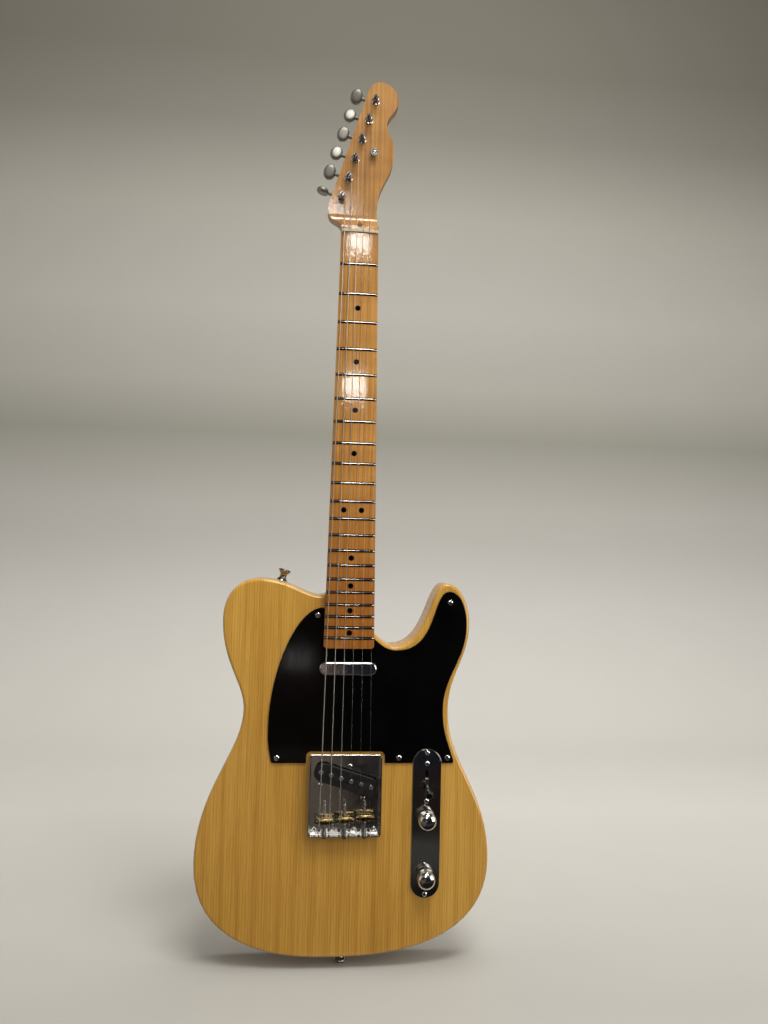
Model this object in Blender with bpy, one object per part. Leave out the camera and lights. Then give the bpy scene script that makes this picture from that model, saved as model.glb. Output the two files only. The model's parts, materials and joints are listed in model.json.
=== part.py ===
"""Solid-body electric guitar with a single cutaway, three barrel saddles and six in-line tuners.

The guitar stands upright: +Z runs from the end strap button towards the headstock, the front
faces -Y and the treble side is +X. The origin is the centre of the end strap button's outer face.
All sizes are in metres.
"""

import math

import bmesh
import bpy
from mathutils import Matrix, Vector

for old in list(bpy.data.objects):
    bpy.data.objects.remove(old, do_unlink=True)

# Clearances
FIT_GAP = 0.0003
RUNNING_GAP = 0.0002
POCKET_GAP = 0.0003
CAVITY_MARGIN = 0.0012

# Strings and scale
SCALE_LENGTH = 0.6477
FRET_COUNT = 21
NUT_STRING_SPACING = 0.0071
BRIDGE_STRING_SPACING = 0.0109
STRING_DIAMETERS = [0.00117, 0.00091, 0.00066, 0.00043, 0.00033, 0.00025]
STRING_TURNS = 2
STRING_HEIGHT_MIDDLE = 0.0132
STRING_HEIGHT_OUTER = 0.0123
STRING_SIDES = 1
TURN_POINTS = 16
TURN_TAIL = 0.15
SADDLE_BEND_STEPS = 4
TURN_SPACE = 0.00058

# Body
BODY_THICKNESS = 0.04445
BODY_EDGE_ROUND = 0.0036
BODY_HEIGHT = 0.4092
LOWER_BOUT_WIDTH = 0.3228
LOWER_BOUT_HEIGHT = 0.1020
WAIST_WIDTH = 0.2264
WAIST_HEIGHT = 0.2660
SHOULDER_REACH = 0.1388
SHOULDER_HEIGHT = 0.3645
SHOULDER_CREST_X = 0.0990
SHOULDER_ROOT_HEIGHT = 0.3937
HORN_REACH = 0.1359
HORN_HEIGHT = 0.3625
HORN_TIP_X = 0.1090
HORN_TIP_HEIGHT = 0.4074
CUTAWAY_X = 0.0500
CUTAWAY_HEIGHT = 0.3365
CUTAWAY_ROOT_HEIGHT = 0.3530
HEEL_TONGUE_HEIGHT = 0.4075
TONGUE_CORNER = 0.0060
BRIDGE_LINE_HEIGHT = 0.1535
OUTLINE_STEPS = 8
CORNER_STEPS = 4
SHORT_STRETCH = 0.0120
EDGE_STEPS = 2

# Neck
NUT_WIDTH = 0.0420
HEEL_WIDTH = 0.0556
HEEL_THICKNESS = 0.0254
POCKET_DEPTH = 0.0160
HEEL_END_FROM_NUT = 0.4665
HEEL_CORNER = 0.0035
HEEL_RISE_LENGTH = 0.0260
HEEL_EDGE = 0.0060
HEEL_SQUARENESS = 9.0
NECK_SQUARENESS = 2.3
HEEL_SHARES = (0.25, 0.5, 0.75, 1)
SECTION_STEPS = 10
BOARD_STEPS = 3
NECK_DEPTH_FIRST_FRET = 0.0212
NECK_DEPTH_TWELFTH_FRET = 0.0232
BOARD_RADIUS = 0.1840
BOARD_SIDE_DEPTH = 0.0052
FRET_WIDTH = 0.0021
FRET_CROWN = 0.0011
FRET_SINK = 0.0005
FRET_INSET = 0.0004
NUT_THICKNESS = 0.0032
NUT_SLOT_DEPTH = 0.0032
NUT_STRING_CLEARANCE = 0.0004
NUT_SOFT = 0.0006
TRUSS_ROD_DIAMETER = 0.0048
STRIPE_WIDTH = 0.0062
STRIPE_DEPTH = 0.0048
STRIPE_HEEL_MARGIN = 0.0800
STRIPE_NUT_MARGIN = 0.0260

# Headstock, heights measured from the nut
HEADSTOCK_STEP = 0.0094
HEADSTOCK_THICKNESS = 0.0142
HEADSTOCK_LENGTH = 0.1826
HEAD_ROOT_INSET = 0.0012
HEAD_ROOT_LEFT_HEIGHT = 0.0083
HEAD_ROOT_RIGHT_HEIGHT = 0.0063
HEAD_EAR_REACH = 0.0366
HEAD_EAR_HEIGHT = 0.0293
HEAD_TUNER_EDGE_FOOT = (-0.0336, 0.0426)
HEAD_TUNER_EDGE_TOP = (0.0042, 0.1642)
HEAD_CREST_X = 0.0190
HEAD_SCROLL_X = 0.0414
HEAD_SCROLL_HEIGHT = 0.1613
HEAD_NOTCH_X = 0.0287
HEAD_NOTCH_HEIGHT = 0.1323
HEAD_BULGE_X = 0.0374
HEAD_BULGE_HEIGHT = 0.0993
HEAD_THROAT_X = 0.0191
HEAD_THROAT_HEIGHT = 0.0263
COVE_START = 0.0078
COVE_END = 0.0240
COVE_OPENING_ANGLE = 24
COVE_STEPS = 6

# Tuners
POST_FIRST_X = -0.0213
POST_FIRST_HEIGHT = 0.0432
POST_SPACING = 0.0243
POST_LINE_TILT = 17.33
POST_RADIUS = 0.0031
POST_WAIST_RADIUS = 0.0026
POST_HEIGHT = 0.0112
POST_SLOT_WIDTH = 0.0019
POST_SLOT_DEPTH = 0.0045
POST_FOOT_DEPTH = 0.0030
POST_STEP = 0.0008
BUSHING_RADIUS = 0.0048
BUSHING_HEIGHT = 0.0016
HOUSING_LENGTH = 0.0238
HOUSING_WIDTH = 0.0150
HOUSING_HEIGHT = 0.0088
HOUSING_FLANGE = 0.0011
HOUSING_SOFT = 0.0014
HOUSING_CORNER = 0.0052
HOUSING_EAR_CORNER = 0.0028
HOUSING_EAR_SHARE = 0.62
HOUSING_COVER_LENGTH = 0.0184
HOUSING_EDGE_OFFSET = 0.0016
WORM_OFFSET = 0.0080
WORM_SHAFT_RADIUS = 0.0021
WORM_COLLAR_RADIUS = 0.0032
WORM_COLLAR_LENGTH = 0.0016
BUTTON_REACH = 0.0252
BUTTON_LENGTH = 0.0142
BUTTON_WIDTH = 0.0176
BUTTON_THICKNESS = 0.0074
BUTTON_TURNS = [82, -14, 8, -6, 12, -20]
BUTTON_STEPS = 12

# String tree, measured from the nut
TREE_X = 0.0144
TREE_HEIGHT = 0.0964
TREE_RADIUS = 0.0048
TREE_STEM_RADIUS = 0.0019
TREE_STAND = 0.0046
TREE_DISC = 0.0014
TREE_STRINGS = 2

# Bridge
PLATE_WIDTH = 0.0794
PLATE_LENGTH = 0.0857
PLATE_THICKNESS = 0.0012
PLATE_WALL_HEIGHT = 0.0118
PLATE_CORNER = 0.0034
PLATE_REAR_OFFSET = 0.0212
STRING_HOLE_OFFSET = 0.0168
STRING_HOLE_RADIUS = 0.0016
FERRULE_BORE_RADIUS = 0.0024
FERRULE_DEPTH = 0.0070
SADDLE_DIAMETER = 0.0079
SADDLE_LENGTH = 0.0210
SADDLE_OFFSETS = [-0.0050, -0.0030, -0.0010]
SADDLE_TRAVEL = 0.0040
GRUB_RADIUS = 0.0014
GRUB_INSET = 0.0018
SCREW_RADIUS = 0.00145
SCREW_HEAD_RADIUS = 0.0027
SCREW_HEAD_HEIGHT = 0.0020
SCREW_NOSE = 0.0130
SPRING_WIRE = 0.0007
SPRING_CURLS = 5
CURL_POINTS = 8

# Pickups
PICKUP_CENTRE_X = 0.0008
PICKUP_CENTRE_Z = 0.0388
PICKUP_SLANT = -17.0
PICKUP_LENGTH = 0.0700
PICKUP_WIDTH = 0.0200
PICKUP_TOP = 0.0078
PICKUP_DEPTH = 0.0165
POLE_RADIUS = 0.0024
POLE_RISE = 0.0009
PICKUP_POLE_SPACING = 0.0110
NECK_PICKUP_Z = 0.1586
NECK_PICKUP_LENGTH = 0.0634
NECK_PICKUP_WIDTH = 0.0148
NECK_PICKUP_RISE = 0.0042
NECK_PICKUP_DEPTH = 0.0120
NECK_PICKUP_WALL = 0.0010

# Pickguard, heights measured from the bridge line
GUARD_THICKNESS = 0.0016
GUARD_FOOT = 0.0554
GUARD_LEFT_CORNER = 0.0073
GUARD_RIGHT_CORNER = 0.0029
GUARD_LEFT_REACH = 0.0858
GUARD_LEFT_HEIGHT = 0.0950
GUARD_NECK_LEFT_HEIGHT = 0.2249
GUARD_WAIST_X = 0.1069
GUARD_WAIST_HEIGHT = 0.1140
GUARD_HORN_REACH = 0.1321
GUARD_HORN_HEIGHT = 0.2070
GUARD_TIP_X = 0.1120
GUARD_TIP_HEIGHT = 0.2452
GUARD_CUTAWAY_X = 0.0540
GUARD_CUTAWAY_HEIGHT = 0.1790
GUARD_NECK_RIGHT_HEIGHT = 0.1918
GUARD_RIGHT_FOOT_X = 0.1199
GUARD_BRIDGE_MARGIN = 0.0036
GUARD_PLATE_GAP = 0.0005
GUARD_SCREWS = [(-0.0347, 0.2166), (0.1131, 0.2332), (-0.0754, 0.0610), (0.0589, 0.0614), (0.1129, 0.0614)]
WOOD_SCREW_RADIUS = 0.0030
WOOD_SCREW_RISE = 0.0009

# Controls, heights measured from the bridge line
CONTROL_X = 0.0906
CONTROL_LENGTH = 0.1614
CONTROL_WIDTH = 0.0320
CONTROL_CENTRE = -0.0100
CONTROL_THICKNESS = 0.0013
CONTROL_CAVITY_DEPTH = 0.0360
CONTROL_CAVITY_END = 0.0097
CONTROL_CAVITY_EDGE = 0.0029
CONTROL_SCREW_INSET = 0.0042
VOLUME_FROM_SWITCH = 0.0390
TONE_FROM_END = 0.0233
SWITCH_FROM_END = 0.0363
SWITCH_SCREW_SPREAD = 0.0413
SWITCH_SLOT_LENGTH = 0.0270
SWITCH_SLOT_WIDTH = 0.0034
SWITCH_PIVOT_DEPTH = 0.0105
SWITCH_LEVER_ANGLE = 14.5
SWITCH_LEVER_THICKNESS = 0.0014
SWITCH_LEVER_WIDTH = 0.0042
SWITCH_LEVER_LENGTH = 0.0310
SWITCH_FRAME_LENGTH = 0.0480
SWITCH_FRAME_WIDTH = 0.0130
SWITCH_FRAME_DEPTH = 0.0160
SWITCH_FRAME_SHEET = 0.0014
SWITCH_PIN_RADIUS = 0.0015
SWITCH_TIP_RADIUS = 0.0046
SWITCH_TIP_LENGTH = 0.0110
SWITCH_TIP_GRIP = 0.0070
KNOB_RADIUS = 0.0095
KNOB_HEIGHT = 0.0150
KNOB_DOME = 0.0040
KNOB_TEETH = 16
KNURL_DEPTH = 0.0004
KNOB_LIFT = 0.0026
KNOB_SOCKET_DEPTH = 0.0095
SHAFT_RADIUS = 0.00318
BUSH_RADIUS = 0.0047
BUSH_NUT_RADIUS = 0.0064
BUSH_NUT_HEIGHT = 0.0019
POT_RADIUS = 0.0120
POT_DEPTH = 0.0110

# Jack, neck plate and strap buttons
JACK_FLANGE_RADIUS = 0.0127
JACK_CUP_RADIUS = 0.0110
JACK_CUP_DEPTH = 0.0125
JACK_CUP_WALL = 0.0012
JACK_BORE_RADIUS = 0.00325
JACK_BUSH_RADIUS = 0.0047
JACK_NUT_RADIUS = 0.0062
JACK_NUT_HEIGHT = 0.0020
JACK_BODY_RADIUS = 0.0075
JACK_BODY_LENGTH = 0.0190
NECK_PLATE_LENGTH = 0.0635
NECK_PLATE_WIDTH = 0.0510
NECK_PLATE_THICKNESS = 0.0020
NECK_PLATE_MARGIN = 0.0050
NECK_SCREW_SPREAD_Z = 0.0508
NECK_SCREW_SPREAD_X = 0.0381
NECK_SCREW_HEAD = 0.0038
NECK_SCREW_RADIUS = 0.0021
NECK_SCREW_BITE = 0.0115
STRAP_BUTTON_RADIUS = 0.0070
STRAP_BUTTON_HEIGHT = 0.0132
STRAP_NECK_RADIUS = 0.0036
STRAP_SCREW_RADIUS = 0.0019
STRAP_SCREW_LENGTH = 0.0200
UPPER_BUTTON_SHIFT = 0.0140

# Levels along Y, with the body's mid-thickness at zero
BODY_FRONT = -BODY_THICKNESS / 2
BODY_BACK = BODY_THICKNESS / 2
POCKET_FLOOR = BODY_FRONT + POCKET_DEPTH
HEEL_BACK = POCKET_FLOOR - FIT_GAP
BOARD_Y = HEEL_BACK - HEEL_THICKNESS
HEAD_FRONT = BOARD_Y + HEADSTOCK_STEP
HEAD_BACK = HEAD_FRONT + HEADSTOCK_THICKNESS
PLATE_FRONT = BODY_FRONT - FIT_GAP - PLATE_THICKNESS
GUARD_FRONT = BODY_FRONT - FIT_GAP - GUARD_THICKNESS
CONTROL_FRONT = BODY_FRONT - FIT_GAP - CONTROL_THICKNESS

# Heights along Z
BODY_FOOT = STRAP_BUTTON_HEIGHT + FIT_GAP
BRIDGE_Z = BODY_FOOT + BRIDGE_LINE_HEIGHT
NUT_Z = BRIDGE_Z + SCALE_LENGTH
HEEL_END_Z = NUT_Z - HEEL_END_FROM_NUT
TONGUE_Z = BODY_FOOT + HEEL_TONGUE_HEIGHT
PLATE_REAR_Z = BRIDGE_Z - PLATE_REAR_OFFSET
STRING_HOLE_Z = BRIDGE_Z - STRING_HOLE_OFFSET
REAR_WALL_Z = PLATE_REAR_Z + PLATE_THICKNESS
SWITCH_Z = BRIDGE_Z + CONTROL_CENTRE + CONTROL_LENGTH / 2 - SWITCH_FROM_END
VOLUME_Z = SWITCH_Z - VOLUME_FROM_SWITCH
TONE_Z = BRIDGE_Z + CONTROL_CENTRE - CONTROL_LENGTH / 2 + TONE_FROM_END

FRONT = Vector((0, -1, 0))
BACK = Vector((0, 1, 0))
STRING_COUNT = len(STRING_DIAMETERS)


def paint(name, colour, roughness, metallic):
    """A plain Principled material."""
    made = bpy.data.materials.new(name)
    made.use_nodes = True
    shader = made.node_tree.nodes["Principled BSDF"]
    shader.inputs["Base Color"].default_value = (*colour, 1)
    shader.inputs["Roughness"].default_value = roughness
    shader.inputs["Metallic"].default_value = metallic
    return made


BLONDE = paint("blonde_lacquer", (0.66, 0.38, 0.11), 0.2, 0)
MAPLE = paint("amber_maple", (0.60, 0.30, 0.09), 0.25, 0)
WALNUT = paint("walnut", (0.12, 0.06, 0.03), 0.4, 0)
BONE = paint("bone", (0.80, 0.74, 0.60), 0.4, 0)
BLACK = paint("black_plastic", (0.012, 0.012, 0.013), 0.15, 0)
CHROME = paint("chrome", (0.78, 0.78, 0.78), 0.08, 1)
NICKEL = paint("nickel", (0.70, 0.69, 0.66), 0.22, 1)
STEEL = paint("steel", (0.55, 0.55, 0.55), 0.3, 1)
BRASS = paint("brass", (0.72, 0.53, 0.25), 0.3, 1)
FIBRE = paint("black_fibre", (0.03, 0.03, 0.03), 0.6, 0)


def from_bmesh(name, bm, material, origin=None, smooth=35):
    """Turn a bmesh in world coordinates into an object whose origin is at the given point."""
    bmesh.ops.recalc_face_normals(bm, faces=bm.faces)
    start = Vector(origin) if origin is not None else Vector((0, 0, 0))
    bmesh.ops.translate(bm, verts=bm.verts, vec=-start)
    mesh = bpy.data.meshes.new(name)
    bm.to_mesh(mesh)
    bm.free()
    mesh.materials.append(material)
    mesh.shade_smooth()
    mesh.set_sharp_from_angle(angle=math.radians(smooth))
    made = bpy.data.objects.new(name, mesh)
    made.location = start
    bpy.context.collection.objects.link(made)
    return made


def guide(made):
    """Mark an object as a cutter or a tool that isn't part of the guitar."""
    made.hide_render = True
    made.display_type = "WIRE"
    return made


def boolean(target, tool, operation):
    change = target.modifiers.new(tool.name, "BOOLEAN")
    change.operation = operation
    change.solver = "EXACT"
    change.object = guide(tool)


def cut(target, *tools):
    for tool in tools:
        boolean(target, tool, "DIFFERENCE")


def unite(target, *tools):
    for tool in tools:
        boolean(target, tool, "UNION")


def add_prism(bm, outline, front_y, back_y):
    """A closed block between two levels of Y whose outline is given in X and Z."""
    front = [bm.verts.new((x, front_y, z)) for x, z in outline]
    back = [bm.verts.new((x, back_y, z)) for x, z in outline]
    bm.faces.new(front)
    bm.faces.new(list(reversed(back)))
    for k in range(len(outline)):
        after = (k + 1) % len(outline)
        bm.faces.new((front[after], front[k], back[k], back[after]))


def prism(name, outline, front_y, back_y, material):
    bm = bmesh.new()
    add_prism(bm, outline, front_y, back_y)
    return from_bmesh(name, bm, material)


def axis_frame(origin, axis):
    """A matrix that carries local +Z onto the axis and the local origin onto the given point."""
    turn = Vector((0, 0, 1)).rotation_difference(Vector(axis).normalized())
    return Matrix.Translation(Vector(origin)) @ turn.to_matrix().to_4x4()


def add_turned(bm, profile, origin, axis, steps=16):
    """Revolve (radius, height) points about an axis; points of radius zero close the ends."""
    place = axis_frame(origin, axis)
    rings = []
    for radius, height in profile:
        if radius == 0:
            rings.append([bm.verts.new(place @ Vector((0, 0, height)))])
            continue
        ring = []
        for k in range(steps):
            angle = math.tau * (k + 0.5) / steps
            ring.append(bm.verts.new(place @ Vector((radius * math.cos(angle), radius * math.sin(angle), height))))
        rings.append(ring)
    for low, high in zip(rings, rings[1:]):
        for k in range(steps):
            after = (k + 1) % steps
            if len(low) == 1 and len(high) > 1:
                bm.faces.new((low[0], high[after], high[k]))
            elif len(high) == 1 and len(low) > 1:
                bm.faces.new((low[k], low[after], high[0]))
            elif len(low) > 1:
                bm.faces.new((low[k], low[after], high[after], high[k]))
    if len(rings[0]) > 1 and len(rings[-1]) > 1:
        for k in range(steps):
            after = (k + 1) % steps
            bm.faces.new((rings[-1][k], rings[-1][after], rings[0][after], rings[0][k]))


def turned(name, profile, origin, axis, material, steps=16, smooth=35):
    bm = bmesh.new()
    add_turned(bm, profile, origin, axis, steps)
    return from_bmesh(name, bm, material, origin, smooth)


def rod_profile(radius, low, high):
    return [(0, low), (radius, low), (radius, high), (0, high)]


def rods(name, places, axis, radius, low, high, material, steps=10):
    """Several parallel cylinders in one tool object."""
    bm = bmesh.new()
    for place in places:
        add_turned(bm, rod_profile(radius, low, high), place, axis, steps)
    return from_bmesh(name, bm, material)


def tube(name, points, diameter, material, origin=None):
    """A wire along a list of points, with flat ends."""
    start = Vector(origin) if origin is not None else Vector((0, 0, 0))
    path = bpy.data.curves.new(name, "CURVE")
    path.dimensions = "3D"
    path.bevel_depth = diameter / 2
    path.bevel_resolution = STRING_SIDES
    path.use_fill_caps = True
    spline = path.splines.new("POLY")
    spline.points.add(len(points) - 1)
    for point, place in zip(spline.points, points):
        point.co = (*(Vector(place) - start), 1)
    path.materials.append(material)
    made = bpy.data.objects.new(name, path)
    made.location = start
    bpy.context.collection.objects.link(made)
    return made


def heading(angle):
    return Vector((math.cos(math.radians(angle)), math.sin(math.radians(angle))))


def curve_through(anchors, steps):
    """A closed outline through anchors (x, z, heading, pull_in, pull_out).

    The pulls are the lengths of the two handles as shares of the distance to the neighbouring
    anchor. Where both handles of a stretch are zero the stretch is straight.
    """
    outline = []
    for first, last in zip(anchors, anchors[1:] + anchors[:1]):
        start = Vector(first[:2])
        end = Vector(last[:2])
        chord = (end - start).length
        out_handle = start + heading(first[2]) * chord * first[4]
        in_handle = end - heading(last[2]) * chord * last[3]
        count = steps if chord > SHORT_STRETCH else CORNER_STEPS
        if first[4] == 0 and last[3] == 0:
            count = 1
        for k in range(count):
            t = k / count
            outline.append(
                (1 - t) ** 3 * start
                + 3 * (1 - t) ** 2 * t * out_handle
                + 3 * (1 - t) * t**2 * in_handle
                + t**3 * end
            )
    return [(point.x, point.y) for point in outline]


def rounded_slot(centre_x, centre_z, length, width, angle=90, corner=None, steps=6):
    """A rectangle with rounded corners; without a corner radius its ends are half circles."""
    radius = width / 2 if corner is None else corner
    turn = math.radians(angle)
    outline = []
    for side_a, side_b, start in ((1, 1, 0), (-1, 1, 90), (-1, -1, 180), (1, -1, 270)):
        for k in range(steps + 1):
            around = math.radians(start + 90 * k / steps)
            a = side_a * (length / 2 - radius) + radius * math.cos(around)
            b = side_b * (width / 2 - radius) + radius * math.sin(around)
            point = (
                centre_x + a * math.cos(turn) - b * math.sin(turn),
                centre_z + a * math.sin(turn) + b * math.cos(turn),
            )
            if not outline or math.dist(outline[-1], point) > FIT_GAP / 10:
                outline.append(point)
    if math.dist(outline[0], outline[-1]) < FIT_GAP / 10:
        outline.pop()
    return outline


def inset_outline(outline, inset):
    """An anticlockwise outline moved inwards, each point along the mean of its edges' normals."""
    moved = []
    for before, here, after in zip(outline[-1:] + outline[:-1], outline, outline[1:] + outline[:1]):
        first = (Vector(here) - Vector(before)).normalized()
        last = (Vector(after) - Vector(here)).normalized()
        inward = Vector((-first.y - last.y, first.x + last.x)).normalized()
        place = Vector(here) + inward * inset / inward.dot(Vector((-first.y, first.x)))
        moved.append((place.x, place.y))
    return moved


def rounded_levels(outline, front_y, back_y, radius, steps):
    """The levels of a slab whose front and back edges are rounded with quarter circles."""
    front = []
    back = []
    for k in range(steps + 1):
        angle = math.pi / 2 * k / steps
        ring = inset_outline(outline, radius * (1 - math.sin(angle)))
        depth = radius * (1 - math.cos(angle))
        front.append((ring, front_y + depth))
        back.append((ring, back_y - depth))
    return front + list(reversed(back))


def half_neck(z):
    """Half the neck's width at a height, tapering from the heel to the nut."""
    share = min(max((z - HEEL_END_Z) / (NUT_Z - HEEL_END_Z), 0), 1)
    return (HEEL_WIDTH + (NUT_WIDTH - HEEL_WIDTH) * share) / 2


def board_sag(x):
    """How far the radiused fingerboard falls away at a distance from its centreline."""
    return BOARD_RADIUS - math.sqrt(BOARD_RADIUS**2 - x * x)


def fret_z(number):
    return BRIDGE_Z + SCALE_LENGTH / 2 ** (number / 12)


def neck_plan(low_z, high_z, margin):
    """The neck's tapered plan between two heights, widened by a margin."""
    low = half_neck(low_z) + margin
    high = half_neck(high_z) + margin
    return [(-low, low_z), (low, low_z), (high, high_z), (-high, high_z)]


def body_outline():
    bout = LOWER_BOUT_WIDTH / 2
    waist = WAIST_WIDTH / 2
    left_root = -half_neck(BODY_FOOT + SHOULDER_ROOT_HEIGHT) + FIT_GAP
    right_root = half_neck(BODY_FOOT + CUTAWAY_ROOT_HEIGHT) - FIT_GAP
    tongue = half_neck(TONGUE_Z) - FIT_GAP
    anchors = [
        (0, 0, 0, 0.12, 0.44),
        (bout, LOWER_BOUT_HEIGHT, 90, 0.40, 0.44),
        (waist, WAIST_HEIGHT, 90, 0.34, 0.41),
        (HORN_REACH, HORN_HEIGHT, 90, 0.40, 0.41),
        (HORN_TIP_X, HORN_TIP_HEIGHT, 180, 0.33, 0.21),
        (CUTAWAY_X, CUTAWAY_HEIGHT, 180, 0.44, 0.28),
        (right_root, CUTAWAY_ROOT_HEIGHT, 112, 0.15, 0),
        (tongue, HEEL_TONGUE_HEIGHT - TONGUE_CORNER, 90, 0, 0.39),
        (tongue - TONGUE_CORNER, HEEL_TONGUE_HEIGHT, 180, 0.39, 0),
        (TONGUE_CORNER - tongue, HEEL_TONGUE_HEIGHT, 180, 0, 0.39),
        (-tongue, HEEL_TONGUE_HEIGHT - TONGUE_CORNER, 270, 0.39, 0),
        (left_root, SHOULDER_ROOT_HEIGHT, 206, 0, 0.27),
        (-SHOULDER_CREST_X, BODY_HEIGHT, 180, 0.50, 0.44),
        (-SHOULDER_REACH, SHOULDER_HEIGHT, 270, 0.42, 0.48),
        (-waist, WAIST_HEIGHT, 270, 0.28, 0.28),
        (-bout, LOWER_BOUT_HEIGHT, 270, 0.46, 0.58),
    ]
    return [(x, z + BODY_FOOT) for x, z in curve_through(anchors, OUTLINE_STEPS)]


def guard_outline():
    anchors = [
        (-half_neck(BRIDGE_Z + GUARD_NECK_LEFT_HEIGHT), GUARD_NECK_LEFT_HEIGHT, 173, 0, 0.21),
        (-GUARD_LEFT_REACH, GUARD_LEFT_HEIGHT, 270, 0.43, 0.40),
        (-GUARD_LEFT_REACH + GUARD_LEFT_CORNER / 2, GUARD_FOOT + GUARD_LEFT_CORNER * 0.63, 283, 0.40, 0.50),
        (-GUARD_LEFT_REACH + GUARD_LEFT_CORNER, GUARD_FOOT, 0, 0.50, 0),
        (GUARD_RIGHT_FOOT_X - GUARD_RIGHT_CORNER, GUARD_FOOT, 0, 0, 0.50),
        (GUARD_RIGHT_FOOT_X, GUARD_FOOT + GUARD_RIGHT_CORNER * 0.9, 108, 0.50, 0.39),
        (GUARD_WAIST_X, GUARD_WAIST_HEIGHT, 90, 0.40, 0.40),
        (GUARD_HORN_REACH, GUARD_HORN_HEIGHT, 90, 0.40, 0.40),
        (GUARD_TIP_X, GUARD_TIP_HEIGHT, 180, 0.33, 0.23),
        (GUARD_CUTAWAY_X, GUARD_CUTAWAY_HEIGHT, 180, 0.53, 0.40),
        (half_neck(BRIDGE_Z + GUARD_NECK_RIGHT_HEIGHT), GUARD_NECK_RIGHT_HEIGHT, 139, 0.40, 0),
    ]
    return [(x, z + BRIDGE_Z) for x, z in curve_through(anchors, OUTLINE_STEPS)]


def headstock_outline():
    root = NUT_WIDTH / 2
    tuner_edge = Vector(HEAD_TUNER_EDGE_TOP) - Vector(HEAD_TUNER_EDGE_FOOT)
    edge_heading = math.degrees(math.atan2(tuner_edge.y, tuner_edge.x))
    anchors = [
        (-root + HEAD_ROOT_INSET, NUT_SLOT_DEPTH, 90, 0, 0),
        (-root, HEAD_ROOT_LEFT_HEIGHT, 98, 0, 0.39),
        (-HEAD_EAR_REACH, HEAD_EAR_HEIGHT, 90, 0.62, 0.33),
        (*HEAD_TUNER_EDGE_FOOT, edge_heading, 0.40, 0),
        (*HEAD_TUNER_EDGE_TOP, edge_heading, 0, 0.15),
        (HEAD_CREST_X, HEADSTOCK_LENGTH, 0, 0.45, 0.55),
        (HEAD_SCROLL_X, HEAD_SCROLL_HEIGHT, 270, 0.22, 0.38),
        (HEAD_NOTCH_X, HEAD_NOTCH_HEIGHT, 270, 0.38, 0.27),
        (HEAD_BULGE_X, HEAD_BULGE_HEIGHT, 270, 0.53, 0.41),
        (HEAD_THROAT_X, HEAD_THROAT_HEIGHT, 270, 0.55, 0.37),
        (root, HEAD_ROOT_RIGHT_HEIGHT, 280, 0.37, 0),
        (root - HEAD_ROOT_INSET, NUT_SLOT_DEPTH, 270, 0, 0),
    ]
    return [(x, z + NUT_Z) for x, z in curve_through(anchors, OUTLINE_STEPS)]


def control_cavity_outline():
    length = CONTROL_LENGTH - 2 * CONTROL_CAVITY_END
    width = CONTROL_WIDTH - 2 * CONTROL_CAVITY_EDGE
    return rounded_slot(CONTROL_X, BRIDGE_Z + CONTROL_CENTRE, length, width, 90, None, 4)


def pickup_outline(margin, steps=3):
    """The slanted bridge pickup's top, a long shape with cropped, rounded corners."""
    return rounded_slot(
        PICKUP_CENTRE_X,
        BRIDGE_Z + PICKUP_CENTRE_Z,
        PICKUP_LENGTH + 2 * margin,
        PICKUP_WIDTH + 2 * margin,
        PICKUP_SLANT,
        PICKUP_WIDTH / 2 - 0.0022 + margin,
        steps,
    )


def pickup_point(along, across=0.0):
    """A point of the slanted pickup, measured along and across its row of poles."""
    slant = math.radians(PICKUP_SLANT)
    return (
        PICKUP_CENTRE_X + along * math.cos(slant) - across * math.sin(slant),
        BRIDGE_Z + PICKUP_CENTRE_Z + along * math.sin(slant) + across * math.cos(slant),
    )


def string_x(index, spacing):
    return (index - (STRING_COUNT - 1) / 2) * spacing


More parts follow.
